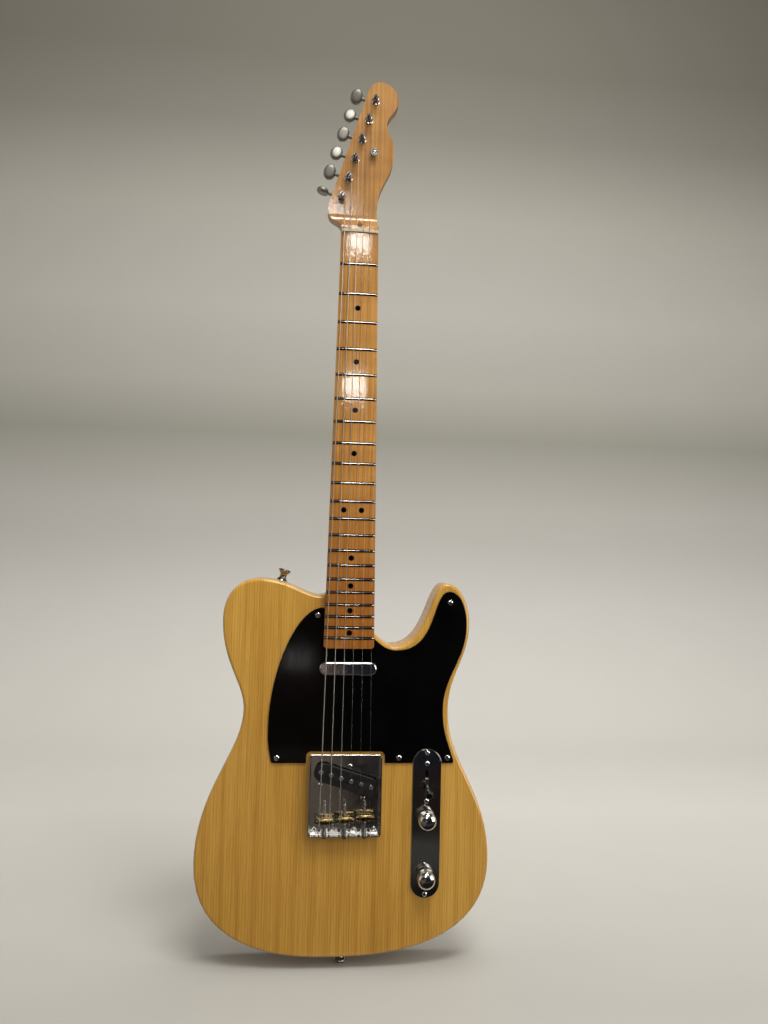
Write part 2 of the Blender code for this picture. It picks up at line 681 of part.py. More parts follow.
def make_body():
    levels = rounded_levels(body_outline(), BODY_FRONT, BODY_BACK, BODY_EDGE_ROUND, EDGE_STEPS)
    body = make_stack("body", levels, BLONDE)
    pocket = prism(
        "neck_pocket_cut",
        neck_plan(HEEL_END_Z - POCKET_GAP, TONGUE_Z + HEEL_CORNER, POCKET_GAP),
        BODY_FRONT * 2,
        POCKET_FLOOR,
        BLONDE,
    )
    neck_pickup = prism(
        "neck_pickup_cut",
        rounded_slot(
            0,
            BRIDGE_Z + NECK_PICKUP_Z,
            NECK_PICKUP_LENGTH + 2 * CAVITY_MARGIN,
            NECK_PICKUP_WIDTH + 2 * CAVITY_MARGIN,
            0,
            None,
            3,
        ),
        BODY_FRONT * 2,
        BODY_FRONT + NECK_PICKUP_DEPTH + CAVITY_MARGIN,
        BLONDE,
    )
    bridge_pickup = prism(
        "bridge_pickup_cut",
        pickup_outline(CAVITY_MARGIN),
        BODY_FRONT * 2,
        BODY_FRONT + PICKUP_DEPTH + CAVITY_MARGIN,
        BLONDE,
    )
    controls = prism(
        "control_cavity_cut",
        control_cavity_outline(),
        BODY_FRONT * 2,
        BODY_FRONT + CONTROL_CAVITY_DEPTH,
        BLONDE,
    )
    through = rods(
        "string_hole_cut",
        [(string_x(k, BRIDGE_STRING_SPACING), 0, STRING_HOLE_Z) for k in range(STRING_COUNT)],
        BACK,
        STRING_HOLE_RADIUS,
        BODY_FRONT * 2,
        BODY_BACK - FERRULE_DEPTH,
        BLONDE,
        8,
    )
    ferrules = rods(
        "ferrule_cut",
        [(string_x(k, BRIDGE_STRING_SPACING), 0, STRING_HOLE_Z) for k in range(STRING_COUNT)],
        BACK,
        FERRULE_BORE_RADIUS,
        BODY_BACK - FERRULE_DEPTH - FIT_GAP,
        BODY_BACK * 2,
        BLONDE,
        10,
    )
    side = LOWER_BOUT_WIDTH / 2
    jack_z = BODY_FOOT + LOWER_BOUT_HEIGHT
    jack = turned(
        "jack_bore_cut",
        [
            (0, CONTROL_X),
            (JACK_CUP_RADIUS + FIT_GAP, CONTROL_X),
            (JACK_CUP_RADIUS + FIT_GAP, side - JACK_CUP_WALL - FIT_GAP),
            (JACK_FLANGE_RADIUS + FIT_GAP, side - JACK_CUP_WALL - FIT_GAP),
            (JACK_FLANGE_RADIUS + FIT_GAP, side * 2),
            (0, side * 2),
        ],
        (0, 0, jack_z),
        (1, 0, 0),
        BLONDE,
        20,
    )
    screws = rods(
        "strap_screw_cut",
        [(0, 0, BODY_FOOT)],
        (0, 0, 1),
        STRAP_SCREW_RADIUS + FIT_GAP,
        -BODY_THICKNESS,
        STRAP_SCREW_LENGTH + FIT_GAP,
        BLONDE,
        8,
    )
    seat, way = upper_strap_place()
    upper_screw = rods(
        "upper_strap_screw_cut",
        [seat],
        way,
        STRAP_SCREW_RADIUS + FIT_GAP,
        -STRAP_SCREW_LENGTH - FIT_GAP,
        BODY_THICKNESS,
        BLONDE,
        8,
    )
    plate_screws = rods(
        "neck_screw_cut",
        neck_screw_places(),
        FRONT,
        NECK_SCREW_RADIUS + FIT_GAP,
        -BODY_THICKNESS,
        BODY_THICKNESS,
        BLONDE,
        8,
    )
    cut(body, pocket, neck_pickup, bridge_pickup, controls, through, ferrules, jack, screws, upper_screw, plate_screws)
    return body


def neck_plate_centre():
    return TONGUE_Z - NECK_PLATE_MARGIN - NECK_PLATE_LENGTH / 2


def neck_screw_places():
    centre = neck_plate_centre()
    return [
        (across * NECK_SCREW_SPREAD_X / 2, 0, centre + along * NECK_SCREW_SPREAD_Z / 2)
        for across in (-1, 1)
        for along in (-1, 1)
    ]


def neck_station(z):
    """Half width, back level, side depth and squareness of the neck's section at a height."""
    half = half_neck(z)
    heel_top = TONGUE_Z + HEEL_CORNER
    first = fret_z(1)
    twelfth = fret_z(12)
    head_root = NUT_Z - FRET_WIDTH
    if z <= heel_top:
        return half, HEEL_BACK, HEEL_THICKNESS - HEEL_EDGE, HEEL_SQUARENESS
    if z < heel_top + HEEL_RISE_LENGTH:
        share = (z - heel_top) / HEEL_RISE_LENGTH
        ease = share * share * (3 - 2 * share)
        shaft = BOARD_Y + NECK_DEPTH_TWELFTH_FRET
        side = HEEL_THICKNESS - HEEL_EDGE
        return (
            half,
            HEEL_BACK + (shaft - HEEL_BACK) * ease,
            side + (BOARD_SIDE_DEPTH - side) * ease,
            HEEL_SQUARENESS + (NECK_SQUARENESS - HEEL_SQUARENESS) * ease,
        )
    if z <= twelfth:
        return half, BOARD_Y + NECK_DEPTH_TWELFTH_FRET, BOARD_SIDE_DEPTH, NECK_SQUARENESS
    if z <= first:
        share = (z - twelfth) / (first - twelfth)
        depth = NECK_DEPTH_TWELFTH_FRET + (NECK_DEPTH_FIRST_FRET - NECK_DEPTH_TWELFTH_FRET) * share
        return half, BOARD_Y + depth, BOARD_SIDE_DEPTH, NECK_SQUARENESS
    share = min((z - first) / (head_root - first), 1)
    ease = share * share * (3 - 2 * share)
    back = BOARD_Y + NECK_DEPTH_FIRST_FRET
    return (
        half,
        back + (HEAD_BACK - FIT_GAP - back) * ease,
        BOARD_SIDE_DEPTH + (HEADSTOCK_THICKNESS * 0.9 - BOARD_SIDE_DEPTH) * ease,
        NECK_SQUARENESS + (HEEL_SQUARENESS - NECK_SQUARENESS) * ease,
    )


def neck_section(z, narrowing=0.0):
    """The neck's cross-section at a height: a radiused board over a carved back."""
    half, back, side_depth, square = neck_station(z)
    half -= narrowing
    points = []
    for k in range(BOARD_STEPS + 1):
        x = -half + 2 * half * k / BOARD_STEPS
        points.append((x, BOARD_Y + board_sag(x)))
    side = min(BOARD_Y + board_sag(half) + side_depth, back - FIT_GAP)
    for k in range(SECTION_STEPS + 1):
        angle = math.pi * k / SECTION_STEPS
        across = math.copysign(abs(math.cos(angle)) ** (2 / square), math.cos(angle))
        down = abs(math.sin(angle)) ** (2 / square)
        points.append((half * across, side + (back - side) * down))
    return [(x, y, z) for x, y in points]


def make_neck():
    heel_top = TONGUE_Z + HEEL_CORNER
    first = fret_z(1)
    stations = []
    for angle in (0, 30, 60, 90):
        turn = math.radians(angle)
        stations.append((HEEL_END_Z + HEEL_CORNER * (1 - math.cos(turn)), HEEL_CORNER * (1 - math.sin(turn))))
    stations.append((heel_top, 0))
    stations += [(heel_top + HEEL_RISE_LENGTH * share, 0) for share in HEEL_SHARES]
    risen = heel_top + HEEL_RISE_LENGTH + HEEL_CORNER
    stations += [(fret_z(number), 0) for number in (12, 5, 1) if fret_z(number) > risen]
    stations += [(first + (NUT_Z - first) * share, 0) for share in (0.3, 0.5, 0.7, 0.85, 1)]
    stations.append((NUT_Z + HEAD_ROOT_RIGHT_HEIGHT, 0))
    bm = bmesh.new()
    rings = [[bm.verts.new(point) for point in neck_section(z, narrowing)] for z, narrowing in stations]
    for low, high in zip(rings, rings[1:]):
        for k in range(len(low)):
            after = (k + 1) % len(low)
            bm.faces.new((low[k], low[after], high[after], high[k]))
    bm.faces.new(list(reversed(rings[0])))
    bm.faces.new(rings[-1])
    neck = from_bmesh("neck", bm, MAPLE)
    head = prism("headstock_tool", headstock_outline(), BOARD_Y + board_sag(NUT_WIDTH / 2), HEAD_BACK, MAPLE)
    unite(neck, head)
    posts = rods(
        "post_bore_cut",
        [post_place(k) for k in range(STRING_COUNT)],
        FRONT,
        POST_RADIUS + FIT_GAP,
        -HEADSTOCK_THICKNESS * 2,
        HEADSTOCK_THICKNESS,
        MAPLE,
    )
    nut_top = NUT_Z + NUT_THICKNESS + 2 * FIT_GAP
    nut_slot = prism(
        "nut_slot_cut",
        [(-NUT_WIDTH, NUT_Z), (NUT_WIDTH, NUT_Z), (NUT_WIDTH, nut_top), (-NUT_WIDTH, nut_top)],
        BOARD_Y * 2,
        BOARD_Y + NUT_SLOT_DEPTH,
        MAPLE,
    )
    rod_slot = prism(
        "rod_slot_cut",
        stripe_plan(FIT_GAP),
        BOARD_Y + NECK_DEPTH_FIRST_FRET - STRIPE_DEPTH - TRUSS_ROD_DIAMETER - 3 * FIT_GAP,
        0,
        MAPLE,
    )
    pilot = rods(
        "neck_pilot_cut",
        neck_screw_places(),
        FRONT,
        NECK_SCREW_RADIUS + FIT_GAP,
        -POCKET_FLOOR - BODY_THICKNESS,
        -POCKET_FLOOR + NECK_SCREW_BITE + FIT_GAP,
        MAPLE,
        8,
    )
    cut(neck, cove_cutter(), nut_slot, rod_slot, pilot)
    unite(neck, fret_tool(), bushing_tool())
    cut(neck, posts)
    return neck


def cove_cutter():
    """Cuts the step from the fingerboard down to the headstock's face, across its whole width."""
    bm = bmesh.new()
    profile = [(NUT_Z + HEADSTOCK_LENGTH * 1.2, BOARD_Y * 2), (NUT_Z + COVE_START, BOARD_Y * 2)]
    start = math.radians(COVE_OPENING_ANGLE)
    for k in range(COVE_STEPS + 1):
        angle = start + (math.pi / 2 - start) * k / COVE_STEPS
        along = (math.cos(start) - math.cos(angle)) / math.cos(start)
        drop = (math.sin(angle) - math.sin(start)) / (1 - math.sin(start))
        profile.append((NUT_Z + COVE_START + (COVE_END - COVE_START) * along, BOARD_Y + HEADSTOCK_STEP * drop))
    profile.append((NUT_Z + HEADSTOCK_LENGTH * 1.2, HEAD_FRONT))
    left = [bm.verts.new((-NUT_WIDTH * 2, y, z)) for z, y in profile]
    right = [bm.verts.new((NUT_WIDTH * 2, y, z)) for z, y in profile]
    bm.faces.new(left)
    bm.faces.new(list(reversed(right)))
    for k in range(len(profile)):
        after = (k + 1) % len(profile)
        bm.faces.new((left[after], left[k], right[k], right[after]))
    return from_bmesh("cove_cut", bm, MAPLE)


def fret_tool():
    """The frets: low crowned bars that follow the board's radius."""
    bm = bmesh.new()
    edge = FRET_WIDTH / 2
    crest = FRET_WIDTH / 5
    for number in range(1, FRET_COUNT + 1):
        z = fret_z(number)
        half = half_neck(z) - FRET_INSET
        rings = []
        for k in range(BOARD_STEPS + 1):
            x = -half + 2 * half * k / BOARD_STEPS
            y = BOARD_Y + board_sag(x)
            crown = ((-edge, FRET_SINK), (-crest, -FRET_CROWN), (crest, -FRET_CROWN), (edge, FRET_SINK))
            rings.append([bm.verts.new((x, y + rise, z + along)) for along, rise in crown])
        for low, high in zip(rings, rings[1:]):
            for k in range(len(low)):
                after = (k + 1) % len(low)
                bm.faces.new((low[k], low[after], high[after], high[k]))
        bm.faces.new(list(reversed(rings[0])))
        bm.faces.new(rings[-1])
    return from_bmesh("fret_tool", bm, NICKEL)


def bushing_tool():
    bm = bmesh.new()
    for k in range(STRING_COUNT):
        x, _, z = post_place(k)
        profile = [
            (0, -FIT_GAP * 2),
            (BUSHING_RADIUS, -FIT_GAP * 2),
            (BUSHING_RADIUS, BUSHING_HEIGHT / 2),
            (BUSHING_RADIUS - BUSHING_HEIGHT / 2, BUSHING_HEIGHT),
            (0, BUSHING_HEIGHT),
        ]
        add_turned(bm, profile, (x, HEAD_FRONT, z), FRONT, 10)
    return from_bmesh("bushing_tool", bm, NICKEL)


def stripe_plan(margin):
    low = HEEL_END_Z + STRIPE_HEEL_MARGIN - margin
    high = NUT_Z - STRIPE_NUT_MARGIN + margin
    half = STRIPE_WIDTH / 2 + margin
    return [(-half, low), (half, low), (half, high), (-half, high)]


def make_stripe():
    """The walnut strip that closes the truss rod's channel, flush with the carved back."""
    low = HEEL_END_Z + STRIPE_HEEL_MARGIN
    high = NUT_Z - STRIPE_NUT_MARGIN
    heights = [low, TONGUE_Z + HEEL_CORNER]
    heights += [TONGUE_Z + HEEL_CORNER + HEEL_RISE_LENGTH * share for share in HEEL_SHARES]
    heights += [fret_z(12), fret_z(5), high]
    heights = sorted(z for z in heights if low <= z <= high)
    inner = BOARD_Y + NECK_DEPTH_FIRST_FRET - STRIPE_DEPTH
    half = STRIPE_WIDTH / 2
    profile = [(z, neck_station(z)[1] - FIT_GAP) for z in heights] + [(high, inner), (low, inner)]
    bm = bmesh.new()
    left = [bm.verts.new((-half, y, z)) for z, y in profile]
    right = [bm.verts.new((half, y, z)) for z, y in profile]
    bm.faces.new(left)
    bm.faces.new(list(reversed(right)))
    for k in range(len(profile)):
        after = (k + 1) % len(profile)
        bm.faces.new((left[after], left[k], right[k], right[after]))
    return from_bmesh("skunk_stripe", bm, WALNUT)


def make_truss_rod():
    low = HEEL_END_Z + STRIPE_HEEL_MARGIN + FIT_GAP
    high = NUT_Z - STRIPE_NUT_MARGIN - FIT_GAP
    level = BOARD_Y + NECK_DEPTH_FIRST_FRET - STRIPE_DEPTH - FIT_GAP - TRUSS_ROD_DIAMETER / 2
    profile = rod_profile(TRUSS_ROD_DIAMETER / 2, low, high)
    return turned("truss_rod", profile, (0, level, 0), (0, 0, 1), STEEL, 10)


def post_place(index):
    """The foot of a string post's axis on the headstock's face."""
    tilt = math.radians(POST_LINE_TILT)
    along = index * POST_SPACING
    return (
        POST_FIRST_X + along * math.sin(tilt),
        HEAD_FRONT,
        NUT_Z + POST_FIRST_HEIGHT + along * math.cos(tilt),
    )


def post_line():
    tilt = math.radians(POST_LINE_TILT)
    return Vector((math.sin(tilt), 0, math.cos(tilt)))


def button_way():
    tilt = math.radians(POST_LINE_TILT)
    return Vector((-math.cos(tilt), 0, math.sin(tilt)))


def make_stack(name, levels, material, smooth=35):
    """A solid through outlines of equal count, each with its level along Y, closed at both ends."""
    bm = bmesh.new()
    rings = [[bm.verts.new((x, y, z)) for x, z in outline] for outline, y in levels]
    for low, high in zip(rings, rings[1:]):
        for k in range(len(low)):
            after = (k + 1) % len(low)
            bm.faces.new((low[k], low[after], high[after], high[k]))
    bm.faces.new(list(reversed(rings[0])))
    bm.faces.new(rings[-1])
    return from_bmesh(name, bm, material, None, smooth)


def dome_tool(name, places, level, material, radius=WOOD_SCREW_RADIUS, rise=WOOD_SCREW_RISE):
    """Rounded screw heads that stand on a level facing the front."""
    bm = bmesh.new()
    profile = [(0, -FIT_GAP), (radius, -FIT_GAP), (radius * 0.9, rise * 0.6), (0, rise)]
    for x, z in places:
        add_turned(bm, profile, (x, level, z), FRONT, 8)
    return from_bmesh(name, bm, material)


def make_pickguard():
    guard = prism("pickguard", guard_outline(), GUARD_FRONT, BODY_FRONT - FIT_GAP, BLACK)
    neck_hole = prism(
        "guard_neck_cut",
        neck_plan(HEEL_END_Z - POCKET_GAP, TONGUE_Z, POCKET_GAP),
        GUARD_FRONT * 2,
        0,
        BLACK,
    )
    bridge_notch = prism(
        "guard_bridge_cut",
        rounded_slot(
            0,
            PLATE_REAR_Z + PLATE_LENGTH / 2,
            PLATE_WIDTH + 2 * GUARD_BRIDGE_MARGIN,
            PLATE_LENGTH + 2 * GUARD_BRIDGE_MARGIN,
            0,
            PLATE_CORNER + GUARD_BRIDGE_MARGIN / 2,
            4,
        ),
        GUARD_FRONT * 2,
        0,
        BLACK,
    )
    control_notch = prism(
        "guard_control_cut",
        rounded_slot(
            CONTROL_X,
            BRIDGE_Z + CONTROL_CENTRE,
            CONTROL_LENGTH + 2 * GUARD_PLATE_GAP,
            CONTROL_WIDTH + 2 * GUARD_PLATE_GAP,
            90,
            None,
            6,
        ),
        GUARD_FRONT * 2,
        0,
        BLACK,
    )
    pickup_hole = prism(
        "guard_pickup_cut",
        neck_pickup_outline(FIT_GAP),
        GUARD_FRONT * 2,
        0,
        BLACK,
    )
    screws = dome_tool("guard_screws", [(x, BRIDGE_Z + z) for x, z in GUARD_SCREWS], GUARD_FRONT, CHROME)
    cut(guard, neck_hole, bridge_notch, control_notch, pickup_hole)
    unite(guard, screws)
    return guard


def neck_pickup_outline(margin):
    return rounded_slot(
        0,
        BRIDGE_Z + NECK_PICKUP_Z,
        NECK_PICKUP_LENGTH + 2 * margin,
        NECK_PICKUP_WIDTH + 2 * margin,
        0,
        None,
        5,
    )


def make_neck_pickup():
    """A drawn metal cover, open at the back, over a plain coil."""
    top = GUARD_FRONT - NECK_PICKUP_RISE
    foot = BODY_FRONT + NECK_PICKUP_DEPTH - FIT_GAP
    wall = NECK_PICKUP_WALL
    cover = make_stack(
        "neck_pickup_cover",
        [
            (neck_pickup_outline(-wall), top + wall),
            (neck_pickup_outline(-wall), foot),
            (neck_pickup_outline(0), foot),
            (neck_pickup_outline(0), top + wall),
            (neck_pickup_outline(-wall), top),
        ],
        CHROME,
    )
    coil = make_stack(
        "neck_pickup_coil",
        [
            (neck_pickup_outline(-wall - FIT_GAP), top + wall + FIT_GAP),
            (neck_pickup_outline(-wall - FIT_GAP), foot - FIT_GAP),
        ],
        FIBRE,
    )
    return cover, coil


def plate_outline(inset, front_extra=0.0):
    """The bridge plate's plan: rounded rear corners, nearly square front corners."""
    half = PLATE_WIDTH / 2 - inset
    low = PLATE_REAR_Z + inset
    high = PLATE_REAR_Z + PLATE_LENGTH + front_extra
    corner = PLATE_CORNER - inset
    outline = [(half, high), (-half, high)]
    for side in (-1, 1):
        for k in range(5):
            around = math.radians(90 * k / 4)
            sweep = around if side < 0 else math.pi / 2 - around
            outline.append(
                (side * (half - corner + corner * math.cos(sweep)), low + corner - corner * math.sin(sweep))
            )
    return outline


def saddle_x(index):
    return (index - 1) * 2 * BRIDGE_STRING_SPACING


def saddle_z(index):
    return BRIDGE_Z + SADDLE_OFFSETS[index]


def string_rise(index):
    """Height of a pair of strings over the body's front at its saddle."""
    return STRING_HEIGHT_MIDDLE if index == 1 else STRING_HEIGHT_OUTER


def saddle_level(index):
    """Level of a saddle's axis, which clears the thicker string of its pair."""
    thick = STRING_DIAMETERS[2 * index] / 2
    return BODY_FRONT - string_rise(index) + thick + FIT_GAP + SADDLE_DIAMETER / 2


def pickup_screw_places():
    across = PICKUP_WIDTH / 2 + 0.0042
    return [pickup_point(0, across), pickup_point(-PICKUP_LENGTH * 0.35, -across), pickup_point(PICKUP_LENGTH * 0.35, -across)]


def make_bridge_plate():
    plate = prism(
        "bridge_plate",
        plate_outline(0),
        BODY_FRONT - FIT_GAP - PLATE_WALL_HEIGHT,
        BODY_FRONT - FIT_GAP,
        CHROME,
    )
    tray = prism(
        "tray_cut",
        plate_outline(PLATE_THICKNESS, PLATE_LENGTH),
        BODY_FRONT * 3,
        PLATE_FRONT,
        CHROME,
    )
    window = prism("pickup_window_cut", pickup_outline(0.0008), BODY_FRONT * 3, 0, CHROME)
    holes = rods(
        "plate_string_hole_cut",
        [(string_x(k, BRIDGE_STRING_SPACING), 0, STRING_HOLE_Z) for k in range(STRING_COUNT)],
        BACK,
        STRING_HOLE_RADIUS,
        BODY_FRONT * 2,
        0,
        CHROME,
        8,
    )
    bm = bmesh.new()
    for k in range(3):
        add_turned(
            bm,
            rod_profile(SCREW_RADIUS + RUNNING_GAP, -PLATE_CORNER, PLATE_CORNER),
            (saddle_x(k), saddle_level(k), PLATE_REAR_Z),
            (0, 0, 1),
            12,
        )
    wall_holes = from_bmesh("wall_screw_cut", bm, CHROME)
    mount_screws = [(side * reach, STRING_HOLE_Z + 0.0012) for side in (-1, 1) for reach in (BRIDGE_STRING_SPACING, 3 * BRIDGE_STRING_SPACING)]
    heads = dome_tool("plate_screws", mount_screws, PLATE_FRONT, CHROME, WOOD_SCREW_RADIUS * 0.85)
    height_screws = dome_tool("pickup_height_screws", pickup_screw_places(), PLATE_FRONT, CHROME, WOOD_SCREW_RADIUS * 0.85)
    cut(plate, tray, window, holes, wall_holes)
    unite(plate, heads, height_screws)
    return plate


def make_bridge_pickup():
    top = BODY_FRONT - PICKUP_TOP
    foot = BODY_FRONT + PICKUP_DEPTH
    soft = 0.0006
    pickup = make_stack(
        "bridge_pickup",
        [
            (pickup_outline(0), foot - FIT_GAP),
            (pickup_outline(0), top + soft),
            (pickup_outline(-soft), top),
        ],
        FIBRE,
    )
    bm = bmesh.new()
    for k in range(STRING_COUNT):
        x, z = pickup_point(string_x(k, PICKUP_POLE_SPACING) / math.cos(math.radians(PICKUP_SLANT)))
        add_turned(bm, rod_profile(POLE_RADIUS, -soft, POLE_RISE), (x, top, z), FRONT, 10)
    unite(pickup, from_bmesh("pole_tool", bm, STEEL))
    return pickup


def make_saddle(index, name):
    x = saddle_x(index)
    z = saddle_z(index)
    level = saddle_level(index)
    radius = SADDLE_DIAMETER / 2
    half = SADDLE_LENGTH / 2
    soft = 0.0005
    bm = bmesh.new()
    profile = [(0, -half), (radius - soft, -half), (radius, soft - half), (radius, half - soft), (radius - soft, half), (0, half)]
    add_turned(bm, profile, (x, level, z), (1, 0, 0), 16)
    saddle = from_bmesh(name, bm, BRASS, (x, level, z))
    foot = PLATE_FRONT - FIT_GAP
    grubs = rods(
        name + "_grubs",
        [(x + side * (half - GRUB_INSET), 0, z) for side in (-1, 1)],
        FRONT,
        GRUB_RADIUS,
        -foot,
        -level,
        STEEL,
        8,
    )
    bore = rods(name + "_bore_cut", [(x, level, z)], (0, 0, 1), SCREW_RADIUS + RUNNING_GAP, -radius * 2, radius * 2, STEEL)
    unite(saddle, grubs)
    cut(saddle, bore)
    return saddle


def make_intonation_screw(index, name):
    seat = PLATE_REAR_Z - FIT_GAP
    nose = BRIDGE_Z + SCREW_NOSE
    head = SCREW_HEAD_HEIGHT
    profile = [
        (0, -head),
        (SCREW_HEAD_RADIUS * 0.7, -head),
        (SCREW_HEAD_RADIUS, -head * 0.55),
        (SCREW_HEAD_RADIUS, 0),
        (SCREW_RADIUS, 0),
        (SCREW_RADIUS, nose - seat - SCREW_RADIUS / 3),
        (SCREW_RADIUS * 0.7, nose - seat),
        (0, nose - seat),
    ]
    return turned(name, profile, (saddle_x(index), saddle_level(index), seat), (0, 0, 1), STEEL, 10)


def least_gap(points, diameter):
    """Least distance between a wire's surfaces at points more than half a turn apart."""
    places = [Vector(point) for point in points]
    apart = CURL_POINTS // 2 + 2
    least = min(
        (places[a] - places[b]).length
        for a in range(len(places))
        for b in range(a + apart, len(places))
    )
    return least - diameter


def make_spring(index, name):
    """The spring that presses a saddle away from the rear wall."""
    x = saddle_x(index)
    level = saddle_level(index)
    radius = SCREW_RADIUS + FIT_GAP * 1.5 + SPRING_WIRE / 2
    low = REAR_WALL_Z + FIT_GAP
    high = saddle_z(index) - SADDLE_DIAMETER / 2 - FIT_GAP
    first = low + SPRING_WIRE * 1.4
    last = high - SPRING_WIRE * 1.4
    count = SPRING_CURLS * CURL_POINTS
    points = [(x + radius, level, low)]
    for k in range(count + 1):
        angle = math.tau * k / CURL_POINTS
        points.append((x + radius * math.cos(angle), level + radius * math.sin(angle), first + (last - first) * k / count))
    points.append((x + radius, level, high))
    print(f"{name}: least gap between curls {1000 * least_gap(points, SPRING_WIRE):.2f} mm")
    return tube(name, points, SPRING_WIRE, STEEL)


def control_outline(inset, steps=6):
    return rounded_slot(
        CONTROL_X,
        BRIDGE_Z + CONTROL_CENTRE,
        CONTROL_LENGTH - 2 * inset,
        CONTROL_WIDTH - 2 * inset,
        90,
        None,
        steps,
    )


def make_control_plate():
    soft = 0.0004
    plate = make_stack(
        "control_plate",
        [
            (control_outline(0), BODY_FRONT - FIT_GAP),
            (control_outline(0), CONTROL_FRONT + soft),
            (control_outline(soft), CONTROL_FRONT),
        ],
        CHROME,
    )
    bushes = rods(
        "bush_hole_cut",
        [(CONTROL_X, 0, VOLUME_Z), (CONTROL_X, 0, TONE_Z)],
        BACK,
        BUSH_RADIUS + FIT_GAP,
        BODY_FRONT * 2,
        0,
        CHROME,
        14,
    )
    slot = prism(
        "lever_slot_cut",
        rounded_slot(CONTROL_X, SWITCH_Z, SWITCH_SLOT_LENGTH, SWITCH_SLOT_WIDTH, 90, None, 3),
        BODY_FRONT * 2,
        0,
        CHROME,
    )
    ends = CONTROL_LENGTH / 2 - CONTROL_SCREW_INSET
    heads = [(CONTROL_X, BRIDGE_Z + CONTROL_CENTRE + ends), (CONTROL_X, BRIDGE_Z + CONTROL_CENTRE - ends)]
    heads += [(CONTROL_X, SWITCH_Z + side * SWITCH_SCREW_SPREAD / 2) for side in (-1, 1)]
    screws = dome_tool("control_screws", heads, CONTROL_FRONT, CHROME, WOOD_SCREW_RADIUS * 0.9)
    cut(plate, bushes, slot)
    unite(plate, screws)
    return plate


def switch_pivot():
    return Vector((CONTROL_X, BODY_FRONT + SWITCH_PIVOT_DEPTH, SWITCH_Z))


def make_switch_frame():
    """A folded frame under the control plate, with two cheeks that carry the lever's pin."""
    top = BODY_FRONT
    pivot = switch_pivot()
    frame = prism(
        "switch_frame",
        rounded_slot(CONTROL_X, pivot.z, SWITCH_FRAME_LENGTH, SWITCH_FRAME_WIDTH, 90, SWITCH_FRAME_SHEET, 2),
        top,
        top + SWITCH_FRAME_DEPTH,
        STEEL,
    )
    inside = SWITCH_FRAME_WIDTH - 2 * SWITCH_FRAME_SHEET
    hollow = prism(
        "switch_hollow_cut",
        rounded_slot(CONTROL_X, pivot.z, SWITCH_FRAME_LENGTH * 1.5, inside, 90, SWITCH_FRAME_SHEET / 2, 1),
        top + SWITCH_FRAME_SHEET,
        top + SWITCH_FRAME_DEPTH * 2,
        STEEL,
    )
    slot = prism(
        "switch_slot_cut",
        rounded_slot(CONTROL_X, pivot.z, SWITCH_SLOT_LENGTH, SWITCH_SLOT_WIDTH, 90, None, 3),
        top * 2,
        top + SWITCH_FRAME_SHEET * 2,
        STEEL,
    )
    pin = rods("switch_pin_cut", [pivot], (1, 0, 0), SWITCH_PIN_RADIUS + RUNNING_GAP, -SWITCH_FRAME_WIDTH, SWITCH_FRAME_WIDTH, STEEL)
    cut(frame, hollow, slot, pin)
    return frame


def lever_way():
    tilt = math.radians(SWITCH_LEVER_ANGLE)
    return Vector((0, -math.cos(tilt), -math.sin(tilt)))


def make_switch_lever():
    pivot = switch_pivot()
    way = lever_way()
    side = Vector((1, 0, 0)).cross(way)
    hub = SWITCH_LEVER_WIDTH * 0.9
    bm = bmesh.new()
    half_pin = SWITCH_FRAME_WIDTH / 2
    half_hub = SWITCH_LEVER_THICKNESS * 1.6
    profile = [
        (0, -half_pin),
        (SWITCH_PIN_RADIUS, -half_pin),
        (SWITCH_PIN_RADIUS, -half_hub),
        (hub, -half_hub),
        (hub, half_hub),
        (SWITCH_PIN_RADIUS, half_hub),
        (SWITCH_PIN_RADIUS, half_pin),
        (0, half_pin),
    ]
    add_turned(bm, profile, pivot, (1, 0, 0), 16)
    lever = from_bmesh("switch_lever", bm, STEEL, pivot)
    bm = bmesh.new()
    corners = []
    for along in (0, SWITCH_LEVER_LENGTH):
        for across, depth in ((-1, -1), (1, -1), (1, 1), (-1, 1)):
            corners.append(
                bm.verts.new(
                    pivot
                    + way * along
                    + Vector((1, 0, 0)) * across * SWITCH_LEVER_THICKNESS / 2
                    + side * depth * SWITCH_LEVER_WIDTH / 2
                )
            )
    bm.faces.new(corners[:4])
    bm.faces.new(list(reversed(corners[4:])))
    for k in range(4):
        after = (k + 1) % 4
        bm.faces.new((corners[after], corners[k], corners[k + 4], corners[after + 4]))
    unite(lever, from_bmesh("lever_blade_tool", bm, STEEL))
    return lever


def make_switch_tip():
    """The lever's cap, a waisted barrel with a blind slot that the blade fills."""
    pivot = switch_pivot()
    way = lever_way()
    start = SWITCH_LEVER_LENGTH - SWITCH_TIP_GRIP
    radius = SWITCH_TIP_RADIUS
    length = SWITCH_TIP_LENGTH
    profile = [
        (0, 0),
        (radius * 0.72, 0),
        (radius * 0.86, length * 0.18),
        (radius, length * 0.55),
        (radius, length * 0.82),
        (radius * 0.75, length),
        (0, length),
    ]
    seat = pivot + way * start
    bm = bmesh.new()
    add_turned(bm, profile, seat, way, 16)
    tip = from_bmesh("switch_tip", bm, BLACK, pivot)
    side = Vector((1, 0, 0)).cross(way)
    bm = bmesh.new()
    wide = SWITCH_LEVER_THICKNESS / 2 + FIT_GAP
    deep = SWITCH_LEVER_WIDTH / 2 + FIT_GAP
    corners = []
    for along in (-radius, SWITCH_TIP_GRIP + FIT_GAP):
        for across, depth in ((-1, -1), (1, -1), (1, 1), (-1, 1)):
            corners.append(bm.verts.new(seat + way * along + Vector((1, 0, 0)) * across * wide + side * depth * deep))
    bm.faces.new(corners[:4])
    bm.faces.new(list(reversed(corners[4:])))
    for k in range(4):
        after = (k + 1) % 4
        bm.faces.new((corners[after], corners[k], corners[k + 4], corners[after + 4]))
    cut(tip, from_bmesh("tip_slot_cut", bm, BLACK))
    return tip


